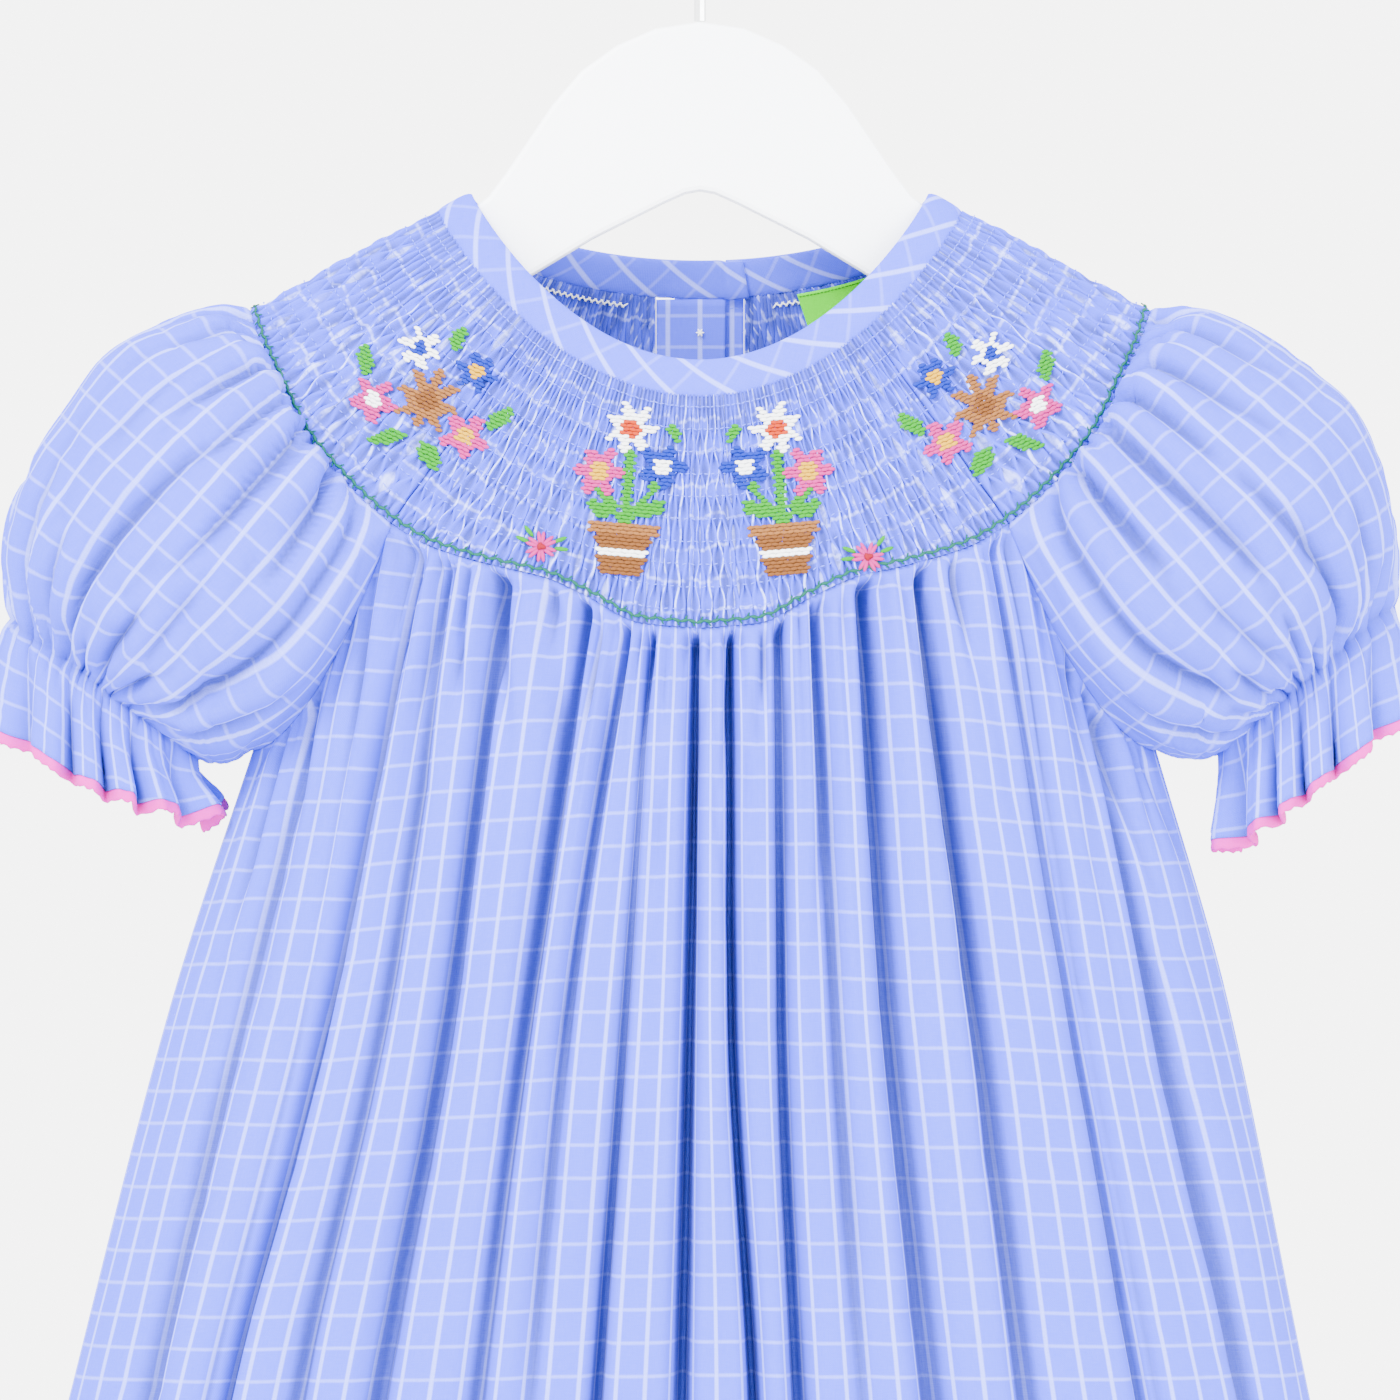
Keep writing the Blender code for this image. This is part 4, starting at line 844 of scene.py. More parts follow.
def smocked(name, node_name, start, end, ribs, cloth_of, seed):
    """A smocked stretch of the yoke: close pleats that sway from stitch row to stitch row."""
    columns = RIB_COLUMNS * ribs + 1
    column = np.arange(columns)
    grid, uv, painted_shade = [], [], []
    for t in np.linspace(0, 1, YOKE_ROWS):
        flat = start(t) + (end(t) - start(t)) * column / (columns - 1)
        reach = reach_of(flat)
        top = (BINDING_WIDTH - 0.4) / reach
        drop = top + (1 - SEAM_GAP / reach - top) * t
        down = drop * reach
        rib = column / RIB_COLUMNS
        pitch = (end(drop) - start(drop)) / ribs
        grown = ease(down / 12 - 0.9) * ease((1 - drop) * 14)
        swing = np.cos(math.pi * (rib - 0.5)) * np.cos(math.pi * down / SMOCKING_ROW)
        jitter = 0.16 * wander(rib * 0.7, down / 7.0, seed + 5)
        inside = np.clip(np.minimum(column, columns - 1 - column) / 4, 0, 1)
        share = start(drop) + (end(drop) - start(drop)) * column / (columns - 1)
        sway = RIB_SWAY * swing * (1 + 0.5 * wander(rib * 0.31, down / 15.0, seed + 6)) + jitter
        share = share + pitch * grown * inside * sway
        height = rib_height(rib, down, seed) * (0.55 + 0.45 * ease(down / 14 - 0.7))
        turn = yoke_normal(share, drop)
        blend = ease((t - 0.94) / 0.06)
        turn = unit(turn * (1 - blend) + yoke_seam_turn(share) * blend)
        grid.append(yoke_point(share, drop) + turn * height[:, None])
        slip = 1.5 * wander(np.floor(rib) * 0.83, down / 40.0, seed + 2)
        uv.append(np.stack([cloth_of(flat), 400.0 - down + slip], axis=-1))
        # Painted shade in the hollows between the pleats, stronger or weaker at random along each rib
        # and fainter at the stretch's ends
        slub_and_shade_streak = 0.75 + 0.7 * wander(rib * 0.9 + 7, down / 4.5, seed + 9)
        slub_and_shade_streak *= 0.45 + 0.55 * np.clip(np.minimum(column, columns - 1 - column) / 3, 0, 1)
        painted_shade.append(np.clip(1 - height / RIB_HEIGHT, 0, 1) ** 1.2 * slub_and_shade_streak)
    grid, uv = np.array(grid), np.array(uv)
    obj = cloth(name, grid, uv, np.array(painted_shade), COTTON_YOKE, thick=0.4)
    finish_piece(obj, (node_name,))
    declare_sheet(grid)
    return grid


def swept(name, sections, material, uvs, painted_shade=None):
    """A closed strip from equal rings of points, with its two ends capped."""
    count, around = sections.shape[:2]
    faces, corners = [], []
    for i in range(count - 1):
        for k in range(around):
            n = (k + 1) % around
            a, b = i * around, (i + 1) * around
            faces.append((a + k, a + n, b + n, b + k))
            far = uvs[:, around] if n == 0 else uvs[:, n]
            corners += [uvs[i, k], far[i], far[i + 1], uvs[i + 1, k]]
    faces.append(tuple(range(around))[::-1])
    faces.append(tuple((count - 1) * around + k for k in range(around)))
    corners += [uvs[0, k] for k in range(around)][::-1] + [uvs[-1, k] for k in range(around)]
    return mesh_piece(name, sections.reshape(-1, 3), faces, material, corners, painted_shade)


def neck_binding():
    """The bias binding: a soft roll with slight puckers where it is stitched down."""
    reach = lengths(NECK_LINE)[-1]
    lap = PLACKET_LAP / reach
    shares = np.linspace(-1 - lap - 0.03, 1 - lap, 320)
    at = shares * reach
    under = 1.5 * ease((-1 - lap + 0.012 - shares) / 0.012)
    shares = np.where(shares < -1, shares + 2, shares)
    around = 18
    sections, uvs = [], []
    for share, length, tucked in zip(shares, at, under):
        depth = float(reach_of(share))
        ring, coords = [], []
        pucker = 0.22 * math.sin(length * 1.9) + 0.16 * math.sin(length * 0.73 + 1)
        for k in range(around + 1):
            turn = 2 * math.pi * k / around
            across = math.cos(turn)
            width = BINDING_WIDTH / 2 * np.sign(across) * abs(across) ** 0.62
            lift = BINDING_THICK / 2 * math.sin(turn) * (1 - 0.25 * abs(across) ** 4)
            puckered = pucker * max(0.0, across) ** 2 * math.copysign(1, math.sin(turn))
            drop = (BINDING_WIDTH / 2 + width) / depth
            coords.append((length, 40.0 + (width if turn <= math.pi else -width)))
            if k < around:
                place = yoke_point(share, drop)
                normal = yoke_normal(share, BINDING_WIDTH / 2 / depth)
                ring.append(place + normal * (lift + puckered - tucked))
        sections.append(ring)
        uvs.append(coords)
    sections = np.array(sections).reshape(len(shares), around, 3)
    painted_shade = np.zeros(len(shares) * around)
    obj = swept("binding_roll", sections, COTTON_BIAS, np.array(uvs), painted_shade)
    finish_piece(obj, ("neck_binding",))
    half = sections[:, : around // 2 + 1].transpose(1, 0, 2)
    declare_sheet(half)


# Front and back panels

def top_edge(x, back=False):
    """Where a panel's top edge passes x: along the yoke, then down the raglan seams."""
    x = np.asarray(x, float)
    side_x = np.where(x > 0, UNDERARM_RIGHT[0], -UNDERARM_LEFT[0])
    side_z = np.where(x > 0, UNDERARM_RIGHT[2], UNDERARM_LEFT[2])
    corner = along(EDGE_LINE, [BACK_SEAM if back else FRONT_SEAM])[0]
    on_yoke = along(EDGE_LINE, share_at(np.minimum(np.abs(x), RAGLAN_X), back))
    t = np.clip((np.abs(x) - RAGLAN_X) / (side_x - RAGLAN_X), 0, 1)
    raglan = np.abs(x) > RAGLAN_X
    y = np.where(raglan, corner[1] * (1 - t) ** 0.6, on_yoke[:, 1])
    z = np.where(raglan, corner[2] + (side_z - corner[2]) * (1 - (1 - t) ** RAGLAN_BEND), on_yoke[:, 2])
    return np.stack([x, y, z], axis=-1)


def with_corners(knots):
    """Adds a fold of no depth at each raglan corner, so that a column runs to it."""
    for x in (-RAGLAN_X, RAGLAN_X):
        row = [np.interp(x, knots[:, 0], knots[:, k]) for k in range(knots.shape[1])]
        row[4:] = (0.0, 0.0, 6.0)
        knots = np.insert(knots, np.searchsorted(knots[:, 0], x), row, axis=0)
    return knots


def panel_places(folds, rows, back):
    """A panel's folds as knots, its levels, and the columns that run from its top edge to the hem."""
    knots = with_corners(np.array((PANEL_LEFT, *folds, PANEL_RIGHT)))
    spans = len(knots) - 1
    place = np.linspace(0, spans, spans * FOLD_COLUMNS + 1)
    tops, mids, lows, hems = (smooth(place, np.arange(spans + 1), knots[:, k]) for k in range(4))
    starts = top_edge(tops, back)
    levels = np.concatenate([np.linspace(0, 0.16, rows // 3, endpoint=False),
                             np.linspace(0.16, 1, rows - rows // 3)])
    zs = starts[:, 2] + np.outer(levels, HEM_Z - starts[:, 2])
    xs = np.empty_like(zs)
    for i in range(len(place)):
        stops = [-starts[i, 2], -MID_Z, -LOW_Z, -HEM_Z]
        xs[:, i] = smooth(-zs[:, i], stops, [tops[i], mids[i], lows[i], hems[i]])
    return knots, levels, place, starts, hems, xs, zs


def outwards(x, depth, hems, hem_reach, sign):
    """Unit directions out of the panel at one level."""
    reach = hem_reach * np.abs(x) / np.maximum(np.abs(hems), 1)
    out_x = x / np.maximum(reach, 60.0) ** 2 * 1.3
    out_y = sign * depth / HEM_DEPTH**2 + sign * 1e-6
    return unit(np.stack([out_x, out_y, np.zeros_like(x)], axis=-1))


def long_folds(knots, x, t):
    """How deep the long folds are at one level."""
    low = ease((t - 0.1) / 0.6)
    hollow = np.zeros(len(x))
    for k in range(1, len(knots) - 1):
        deep = knots[k, 4] + (knots[k, 5] - knots[k, 4]) * low
        spread = knots[k, 6] * (0.75 + 0.5 * t)
        away = np.abs(x - x[k * FOLD_COLUMNS]) / spread
        hollow += deep * (0.62 * bump(away) + 0.48 * bump(away / 0.55))
    return hollow


def small_gathers(share, t, below, phases, seed):
    """Height of the gathers below the yoke and of the cloth's soft unevenness at one level."""
    ripple = np.zeros(len(share))
    for (count, height, fade), phase in zip(PANEL_GATHERS, phases):
        start_soon = ease(below / (2.5 + fade * 0.12))
        turn = 2 * math.pi * count * share + phase
        wave = np.sin(turn + 2.2 * wander(share * 11, t * 7, seed + count))
        vary = 0.75 + 0.45 * wander(share * 17 + count, below / 30.0, seed + 1)
        pleat = 0.45 - 2.0 * ((1 - wave) / 2) ** 3.2
        ripple += height * pleat * vary * start_soon * np.exp(-below / fade)
    ripple += 1.3 * wander(share * 26, t * 5 + 3, seed + 7) * ease(below / 50.0)
    ripple += 0.35 * wander(share * 60, t * 16, seed + 9) * ease(below / 30.0)
    ripple -= 0.55 * crumple(share * 30, t * 8, seed + 23) * ease(below / 60.0)
    return ripple


def panel_levels(folds, rows, back, seed):
    """The panel's outer lines, level by level, and how high its folds and gathers stand there."""
    sign = 1 if back else -1
    knots, levels, place, starts, hems, xs, zs = panel_places(folds, rows, back)
    spans = len(knots) - 1
    hem_reach = np.where(hems > 0, HEM_RIGHT, -HEM_LEFT)
    hem_depths = HEM_DEPTH * (1 - np.minimum(1, np.abs(hems) / hem_reach) ** HEM_ROUNDING) ** 0.5
    inside = np.clip(1 - (np.abs(starts[:, 0]) / RAGLAN_X) ** 4, 0, 1)
    share = np.linspace(0, 1, len(place))
    rng = np.random.default_rng(seed)
    swells = rng.uniform(0.75, 1.25, spans + 1)[np.minimum(place.astype(int), spans)]
    phases = rng.uniform(0, 2 * math.pi, len(PANEL_GATHERS))
    lines, heights = [], []
    for t, x, z in zip(levels, xs, zs):
        depth = np.abs(starts[:, 1]) + (hem_depths - np.abs(starts[:, 1])) * t**0.8
        depth += PANEL_SPRING * inside * np.sin(math.pi * np.clip(t / 0.5, 0, 1)) ** 0.7
        out = outwards(x, depth, hems, hem_reach, sign)
        below = t * (starts[:, 2] - HEM_Z)
        ridge = np.sin(math.pi * (place % 1.0)) * ease(below / 40.0) * (0.5 + 0.5 * t)
        hollow = long_folds(knots, x, t) - RIDGE_SWELL * swells * ridge
        edge = ease(np.minimum(share, 1 - share) * spans * 2)
        height = -hollow * ease(below / FOLD_REACH) + small_gathers(share, t, below, phases, seed) * edge
        lines.append(np.stack([x, sign * depth, z], axis=-1) + out * height[:, None])
        heights.append(height)
    return lines, np.array(heights)


def panel_surface(folds, size, back=False, seed=3):
    """Outer points of a panel, their cloth places and the painted shade of their folds, in even columns.
    """
    rows, columns = size
    lines, heights = panel_levels(folds, rows, back, seed)
    each = lengths(lines[rows * 2 // 3])
    base = np.arange(len(each))
    picks = np.interp(np.linspace(0, each[-1], columns), each, base)
    grid = np.array([[np.interp(picks, base, line[:, k]) for k in range(3)] for line in lines])
    grid = grid.transpose(0, 2, 1)
    # Painted shade: darker where the cloth lies below its neighbours, in the long folds and the small
    # gathers
    hollow = cavity(heights, FOLD_COLUMNS + 5) / 4.2 + cavity(heights, FOLD_COLUMNS // 5) / 2.0
    painted_shade = np.clip([np.interp(picks, base, row) for row in hollow], 0, 1)
    wide = lengths(grid[rows * 5 // 6])
    tall = np.concatenate([[np.zeros(columns)],
                           np.cumsum(np.linalg.norm(np.diff(grid, axis=0), axis=2), axis=0)])
    uv = np.stack([np.broadcast_to(wide, painted_shade.shape), tall[-1] - tall], axis=-1)
    return grid, uv, painted_shade


def panel(name, node_name, folds, size, back=False, seed=3):
    grid, uv, painted_shade = panel_surface(folds, size, back, seed=seed)
    obj = cloth(name, grid, uv, painted_shade, COTTON, flip=back)
    finish_piece(obj, (node_name,))
    declare_sheet(grid)
    return grid, uv


# Sleeves

def armhole(side, angles):
    """Ring where a sleeve starts, its thickness directions and its shares along the yoke."""
    under = UNDERARM_RIGHT if side > 0 else UNDERARM_LEFT
    turn = np.mod(angles, 2 * math.pi) / (2 * math.pi)
    points, turns, shares = [], [], []
    for t in turn:
        front = t <= 0.5
        part = (t if front else 1 - t) / 0.5
        seam = FRONT_SEAM if front else BACK_SEAM
        if part <= YOKE_SHARE:
            share = SHOULDER + (seam - SHOULDER) * part / YOKE_SHARE
            point = along(EDGE_LINE, [share])[0]
            way = yoke_seam_turn(side * share)
        else:
            u = (part - YOKE_SHARE) / (1 - YOKE_SHARE)
            reach = RAGLAN_X + (abs(under[0]) - RAGLAN_X) * u
            point = top_edge([reach * side], back=not front)[0] * (side, 1, 1)
            way = raglan_seam_turn(u, side, not front)
            share = seam
        points.append(point)
        turns.append(way)
        shares.append(share)
    points, turns = np.array(points), np.array(turns)
    points[:, 0] *= side
    away = np.cross(np.roll(points, -1, axis=0) - np.roll(points, 1, axis=0), turns)
    away = unit(away * np.sign(away[:, :1]) * side)
    return points + away * SEAM_GAP, turns, np.array(shares)


def tree_of(grids):
    """A surface to keep other cloth clear of, from (grid, flip) pairs."""
    points, faces = [], []
    for grid, flip in grids:
        first, (rows, columns) = len(points), grid.shape[:2]
        points += grid.reshape(-1, 3).tolist()
        for i in range(rows - 1):
            for j in range(columns - 1):
                a = first + i * columns + j
                quad = (a, a + columns, a + columns + 1, a + 1)
                faces.append(quad[::-1] if flip else quad)
    return BVHTree.FromPolygons(points, faces)


def keep_clear(grid, tree, clearance):
    """Moves points that are inside or too near a surface out along its normal."""
    for i in range(1, grid.shape[0]):
        near = clearance * min(1.0, i / 6)
        for j in range(grid.shape[1]):
            point = Vector(grid[i, j])
            foot, normal, _, _ = tree.find_nearest(point)
            away = point - foot
            out = away.dot(normal)
            if (away - normal * out).length < 1.0 and -40 < out < near:
                grid[i, j] = point + normal * (near - out)
    return grid


def thread_lines(grid, side, angles):
    """How far round the sleeve, in degrees, and how far down it each place of its cloth lies."""
    (x0, z0), (x1, z1) = SLEEVE_AXIS
    span = math.hypot(x1 - x0, z1 - z0)
    down_x, down_z = (x1 - x0) / span, (z1 - z0) / span
    x, z = side * grid[..., 0] - x0, grid[..., 2] - z0
    turn = np.degrees(np.arctan2(np.abs(grid[..., 1]), z * down_x - x * down_z))
    last = SLEEVE_GRID[0] - 1
    beyond = np.linalg.norm(grid - grid[last], axis=2)
    length = x * down_x + z * down_z
    turn[last + 1:] = turn[last]
    length[last + 1:] = length[last] + beyond[last + 1:]
    return np.where(angles[None] <= math.pi, turn, 360 - turn), length


def sleeve_rings(side, table, angles, start):
    """The rings that a sleeve passes, from its armhole to its edge, and where along it they are."""
    stations, rings = [0.0], [start]
    for w, top_x, top_z, low_x, low_z, depth, lean, fall in table:
        middle = np.array([(top_x + low_x) / 2, 0.0, (top_z + low_z) / 2])
        half = np.array([(top_x - low_x) / 2, 0.0, (top_z - low_z) / 2])
        ring = middle + half * np.cos(angles)[:, None]
        ring[:, 1] -= depth * np.sin(angles)
        ring[:, 0] -= side * lean * np.sin(angles) ** 2
        ring[:, 2] -= fall * np.clip(np.sin(angles), 0, 1)
        stations.append(w)
        rings.append(ring)
    return np.array(stations), np.array(rings)


def sleeve_form(side, table, angles, start, body):
    """The puffed form without its gathers: its rows' places along it and its grid."""
    rows, columns = SLEEVE_GRID
    stations, rings = sleeve_rings(side, table, angles, start)
    at = np.concatenate([np.linspace(0, 1, rows) ** 1.12,
                         1 + (stations[-1] - 1) * np.arange(1, FRILL_ROWS + 1) / FRILL_ROWS])
    grid = np.empty((len(at), columns, 3))
    for j in range(columns):
        for k in range(3):
            grid[:, j, k] = smooth(at, stations, rings[:, j, k])
    around = np.where(angles <= math.pi, angles, 2 * math.pi - angles)
    raglan = np.exp(-(((around - math.radians(118)) / math.radians(32)) ** 2))
    swell = np.sin(math.pi * np.clip(at / 0.55, 0, 1))
    push = OVERHANG * swell[:, None] * raglan
    grid[:, :, 0] -= side * 0.45 * push
    grid[:, :, 1] -= np.where(angles <= math.pi, 1, -1) * 0.85 * push
    grid[:, :, 2] -= 0.30 * push
    return at, keep_clear(grid, body, SLEEVE_CLEARANCE)


def pleat_waves(turn, pleats, share, shift, sharp):
    """Fine pleats and coarser ones between them, with narrow hollows."""
    (near, far), (lag, start) = pleats, share
    fine = np.sin(2 * math.pi * near * turn + lag * shift)
    coarse = np.sin(2 * math.pi * far * turn + start[0] * shift + start[1])
    return (0.45 - 2.0 * ((1 - wave) / 2) ** sharp for wave in (fine, coarse))


def sleeve_gathers(t, turn, under, loose, body_part, seed):
    """Height of the gathers at the yoke and at the elastic."""
    shoulder = ease((under - 0.26) / 0.12)
    shift = 1.1 * wander(turn * 24, t * 6, seed, wrap=24)
    fine, coarse = pleat_waves(turn, SHOULDER_PLEATS, (1.0, (1.4, 1)), shift, 3)
    height = 1.0 * fine * ease(t / 0.02) * np.exp(-t / 0.12) * shoulder
    height += 1.8 * coarse * ease(t / 0.03) * np.exp(-t / 0.24) * shoulder
    tight, slack = pleat_waves(turn, ELASTIC_PLEATS, (0.8, (1.5, 2)), shift, 2.5)
    height += 0.95 * tight * np.exp(-np.abs(t - 1) / 0.10) * loose
    height += 1.6 * slack * np.exp(-np.abs(t - 0.95) / 0.17) * loose * body_part
    height -= 1.3 * np.exp(-(((t - 1.0) / 0.022) ** 2)) * loose
    return height


def crease_hollow(t, degrees, creases):
    """How deep the long creases are."""
    hollow = np.zeros_like(degrees)
    for first, last, begins, ends, depth, spread in creases:
        centre = first + (last - first) * np.clip(t, 0, 1)
        centre = centre + 2.5 * np.sin(5 * t + first)
        reach = np.sin(math.pi * np.clip((t - begins) / (ends - begins), 0, 1)) ** 0.7
        across = (degrees - centre) / (spread * (0.7 + 0.6 * reach))
        hollow += depth * reach * (0.55 * bump(across) + 0.45 * bump(across / 0.5))
        hollow -= 0.28 * depth * reach * bump(np.abs(across) - 1.2)
    return hollow


def frill_wave(turn, beyond, t, seed):
    """Height of the frill's waves."""
    sway = 0.9 * wander(turn * 7, t * 0, seed + 8, wrap=7)
    wave = np.sin(2 * math.pi * FRILL_WAVES * turn + 1.6 * sway)
    wave += 0.35 * np.sin(2 * math.pi * FRILL_WAVES * 2.0 * turn + 2.1 * sway + 1)
    return FRILL_WAVE * beyond**0.8 * wave


def sleeve_height(at, degrees, creases, beyond, loose, seed):
    """How far each place of the sleeve stands out from its plain form."""
    t, turn = at[:, None], degrees / 360
    under = np.abs(degrees - 180) / 180
    body_part = np.clip(1 - (t - 1) / 0.04, 0, 1)
    height = sleeve_gathers(t, turn, under, loose, body_part, seed)
    height -= crease_hollow(t, degrees, creases) * (1 - beyond)
    height += 0.8 * wander(turn * 18, t * 9, seed + 3, wrap=18) * ease(t / 0.1) * loose * body_part
    height += 0.3 * wander(turn * 52, t * 30, seed + 4, wrap=52) * ease(t / 0.06) * loose
    height -= 1.0 * crumple(turn * 14, t * 5, seed + 21, wrap=14) * ease(t / 0.08) * loose * body_part
    height += frill_wave(turn, beyond, t, seed)
    height[0] = 0
    return height


def sleeve(side, table, creases, label, body, seed):
    """A puffed sleeve with its gathers, creases, elastic and frill, and the pink edging."""
    columns = SLEEVE_GRID[1]
    angles = np.linspace(0, 2 * math.pi, columns, endpoint=False)
    start, turns, shares = armhole(side, angles)
    at, grid = sleeve_form(side, table, angles, start, body)
    normals = grid_normals(grid, closed=True) * -side
    normals[0] = turns
    t = at[:, None]
    degrees, down = thread_lines(grid, side, angles)
    loose = np.clip(0.25 + 1.5 * np.abs(degrees - 180) / 180, 0, 1)
    beyond = np.clip((t - 1.0) / (at[-1] - 1.0), 0, 1)
    height = sleeve_height(at, degrees, creases, beyond, loose, seed)
    raised = grid + normals * height[..., None]
    droop = grid_normals(raised, closed=True) * -side
    drop_way = unit(raised[-1] - raised[-3])
    uneven = 1.6 * wander(degrees / 360 * 9, 0.3, seed + 11, wrap=9)[0]
    raised += drop_way[None] * (beyond * uneven)[..., None]
    # Painted shade: darker in the sleeve's creases and hollows, with a painted dark band along the
    # elastic
    painted_shade = np.clip(cavity(height, columns // 26, closed=True) / 2.6, 0, 1)
    painted_shade = np.maximum(painted_shade, 0.4 * np.exp(-(((t - 1.0) / 0.025) ** 2)) * loose)
    wide = np.radians(degrees) * SLEEVE_ROUND
    uv = np.stack([wide, down], axis=-1)
    obj = cloth(f"sleeve_cloth_{label}", raised, uv, painted_shade, COTTON, closed=True, flip=side < 0)
    finish_piece(obj, (f"sleeve_{label}",))
    declare_sheet(raised, closed=True)
    edging(label, raised, droop, side)
    return shares, wide[0], angles


def edging(label, grid, normals, side):
    """The pink binding on the frill's edge: a soft roll with small scallops."""
    edge = grid[-1]
    down = edge - grid[-3]
    down = unit(down - normals[-1] * np.sum(down * normals[-1], axis=1, keepdims=True))
    length = lengths(np.concatenate([edge, edge[:1]]))
    count = max(8, round(length[-1] / 3.6))
    scallop = 0.35 * np.sin(2 * math.pi * count * np.arange(len(edge)) / len(edge))
    around = 10
    profile = []
    for k in range(around):
        turn = 2 * math.pi * k / around
        across, lift = math.cos(turn), math.sin(turn)
        reach = EDGING_WIDTH / 2 + EDGING_WIDTH / 2 * np.sign(across) * abs(across) ** 0.7
        width = reach - 0.5 + scallop * max(0.0, across)
        profile.append(edge + down * width[:, None] + normals[-1] * (lift * EDGING_THICK / 2 - 0.3))
    ring = np.array(profile)
    closed = np.concatenate([ring, ring[:1]])
    rows = closed.transpose(1, 0, 2)
    columns = rows.shape[0]
    index = np.arange(columns * around).reshape(columns, around)
    ahead, beside = np.roll(index, -1, 0), np.roll(index, -1, 1)
    quads = np.stack([index, beside, np.roll(beside, -1, 0), ahead], axis=-1).reshape(-1, 4)
    if side > 0:
        quads = quads[:, ::-1]
    points = ring.transpose(1, 0, 2).reshape(-1, 3)
    obj = mesh_piece(f"pink_edging_{label}", points, quads.tolist(), PINK)
    finish_piece(obj, (f"edging_{label}",))
    face = ring[: around // 2 + 1]
    declare_sheet(face, closed=True)


# Embroidery

def on_yoke(x, z):
    """The shares and drops at which the front of the yoke passes these places."""
    x, z = np.broadcast_arrays(np.asarray(x, float), np.asarray(z, float))
    share, drop = x / 200.0, np.full(x.shape, 0.5)
    step = 0.004
    for _ in range(30):
        here = yoke_point(share, drop)
        wide = (yoke_point(share + step, drop) - here) / step
        tall = (yoke_point(share, drop + step) - here) / step
        off_x, off_z = x - here[..., 0], z - here[..., 2]
        spread = wide[..., 0] * tall[..., 2] - tall[..., 0] * wide[..., 2]
        move = (off_x * tall[..., 2] - tall[..., 0] * off_z) / spread
        fall = (wide[..., 0] * off_z - off_x * wide[..., 2]) / spread
        share = np.clip(share + 0.7 * move, -0.62, 0.62)
        drop = np.clip(drop + 0.7 * fall, 0.02, 0.98)
    return share, drop


def local_frame(share, drop):
    """Directions along the ring and down the pleats there."""
    step = 0.003
    wide = unit(yoke_point(share + step, drop) - yoke_point(share - step, drop))
    down = unit(yoke_point(share, drop + step) - yoke_point(share, drop - step))
    return wide, down


def daisy(a, b, bloom):
    """Which thread a bloom has at (a, b), or None outside it."""
    x, y, size, petals, petal, centre = bloom
    away, turn = math.hypot(a - x, b - y), math.atan2(b - y, a - x)
    if away < size * 0.34:
        return centre
    if away < size * (0.76 + 0.24 * math.cos(petals * turn)):
        return petal
    return None


def leaf(a, b, shape):
    """Whether (a, b) is in a pointed leaf: shape is its middle, length, width and turn."""
    x, y, length, width, degrees = shape
    turn = math.radians(degrees)
    u = (a - x) * math.cos(turn) + (b - y) * math.sin(turn)
    v = -(a - x) * math.sin(turn) + (b - y) * math.cos(turn)
    return abs(u) < length / 2 and abs(v) < width / 2 * (1 - (2 * u / length) ** 2)


def stem(a, b, line):
    """Whether (a, b) lies on a stem between two points."""
    x0, y0, x1, y1 = line
    span = (x1 - x0) ** 2 + (y1 - y0) ** 2
    t = min(1.0, max(0.0, ((a - x0) * (x1 - x0) + (b - y0) * (y1 - y0)) / span))
    return math.hypot(a - x0 - t * (x1 - x0), b - y0 - t * (y1 - y0)) < 0.9


# A posy in a pot: where it stands, its size, its blooms, leaves and stems, in its own millimetres
POT_BLOOMS = (
    # x, y down, radius, petals, petal thread, centre thread
    (-7.0, -5.0, 6.0, 6, "pink", "yellow"),
    (7.5, -7.5, 5.6, 5, "blue", "white"),
    (-0.5, -15.5, 6.2, 7, "white", "coral"),
)
POT_LEAVES = (
    # x, y down, length, width, degrees
    (-6.5, 3.4, 7.0, 3.4, 25.0),
    (6.0, 2.6, 7.0, 3.4, -28.0),
    (9.5, -15.0, 5.0, 2.6, 60.0),
)
POT_STEMS = (
    # from x, y to x, y
    (0.0, 7.0, -6.0, -1.0),
    (0.0, 7.0, 6.5, -3.0),
    (0.0, 7.0, 0.0, -10.0),
)
SPRAY_BLOOMS = (
    # x, y down, radius, petals, petal thread, centre thread
    (0.0, -1.0, 7.0, 8, "sand", "tan"),
    (-10.5, 3.5, 5.2, 5, "pink", "white"),
    (10.5, 3.0, 5.2, 5, "pink", "yellow"),
    (-6.0, -10.5, 4.6, 6, "white", "blue"),
    (7.0, -10.5, 4.6, 6, "blue", "yellow"),
)
SPRAY_LEAVES = (
    # x, y down, length, width, degrees
    (-15.5, -3.5, 8.0, 3.6, 60.0),
    (15.5, -3.5, 8.0, 3.6, -60.0),
    (-4.5, 9.5, 8.0, 3.6, -35.0),
    (5.0, 9.5, 8.0, 3.6, 35.0),
    (0.5, -15.5, 6.0, 3.0, 90.0),
)
POSIES = (
    # x, z of the middle, kind, mirrored, size, tilt in degrees
    (-19.5, -189.0, "pot", 1, 1.16, -5.0),
    (21.5, -189.0, "pot", -1, 1.16, 5.0),
    (-73.0, -164.5, "spray", 1, 1.26, -24.0),
    (76.0, -166.0, "spray", -1, 1.26, 24.0),
)
ROW_PITCH = 0.98
STITCH_PITCH = 1.75
POSY_STITCH = (2.3, 1.25, 0.8)
# Where the two small flowers are sewn: x, z
SMALL_FLOWERS = ((-42.1, -202.6), (44.5, -205.3))
FEATHER_PITCH = 2.1
CABLE_ROWS = 10
# Cable stitches in half a row
CABLE_COUNT = 132
# White rows inside the back yoke, by their drop from the neck's edge
INSIDE_ROWS = (13.5, 24.0, 38.0, 52.0)


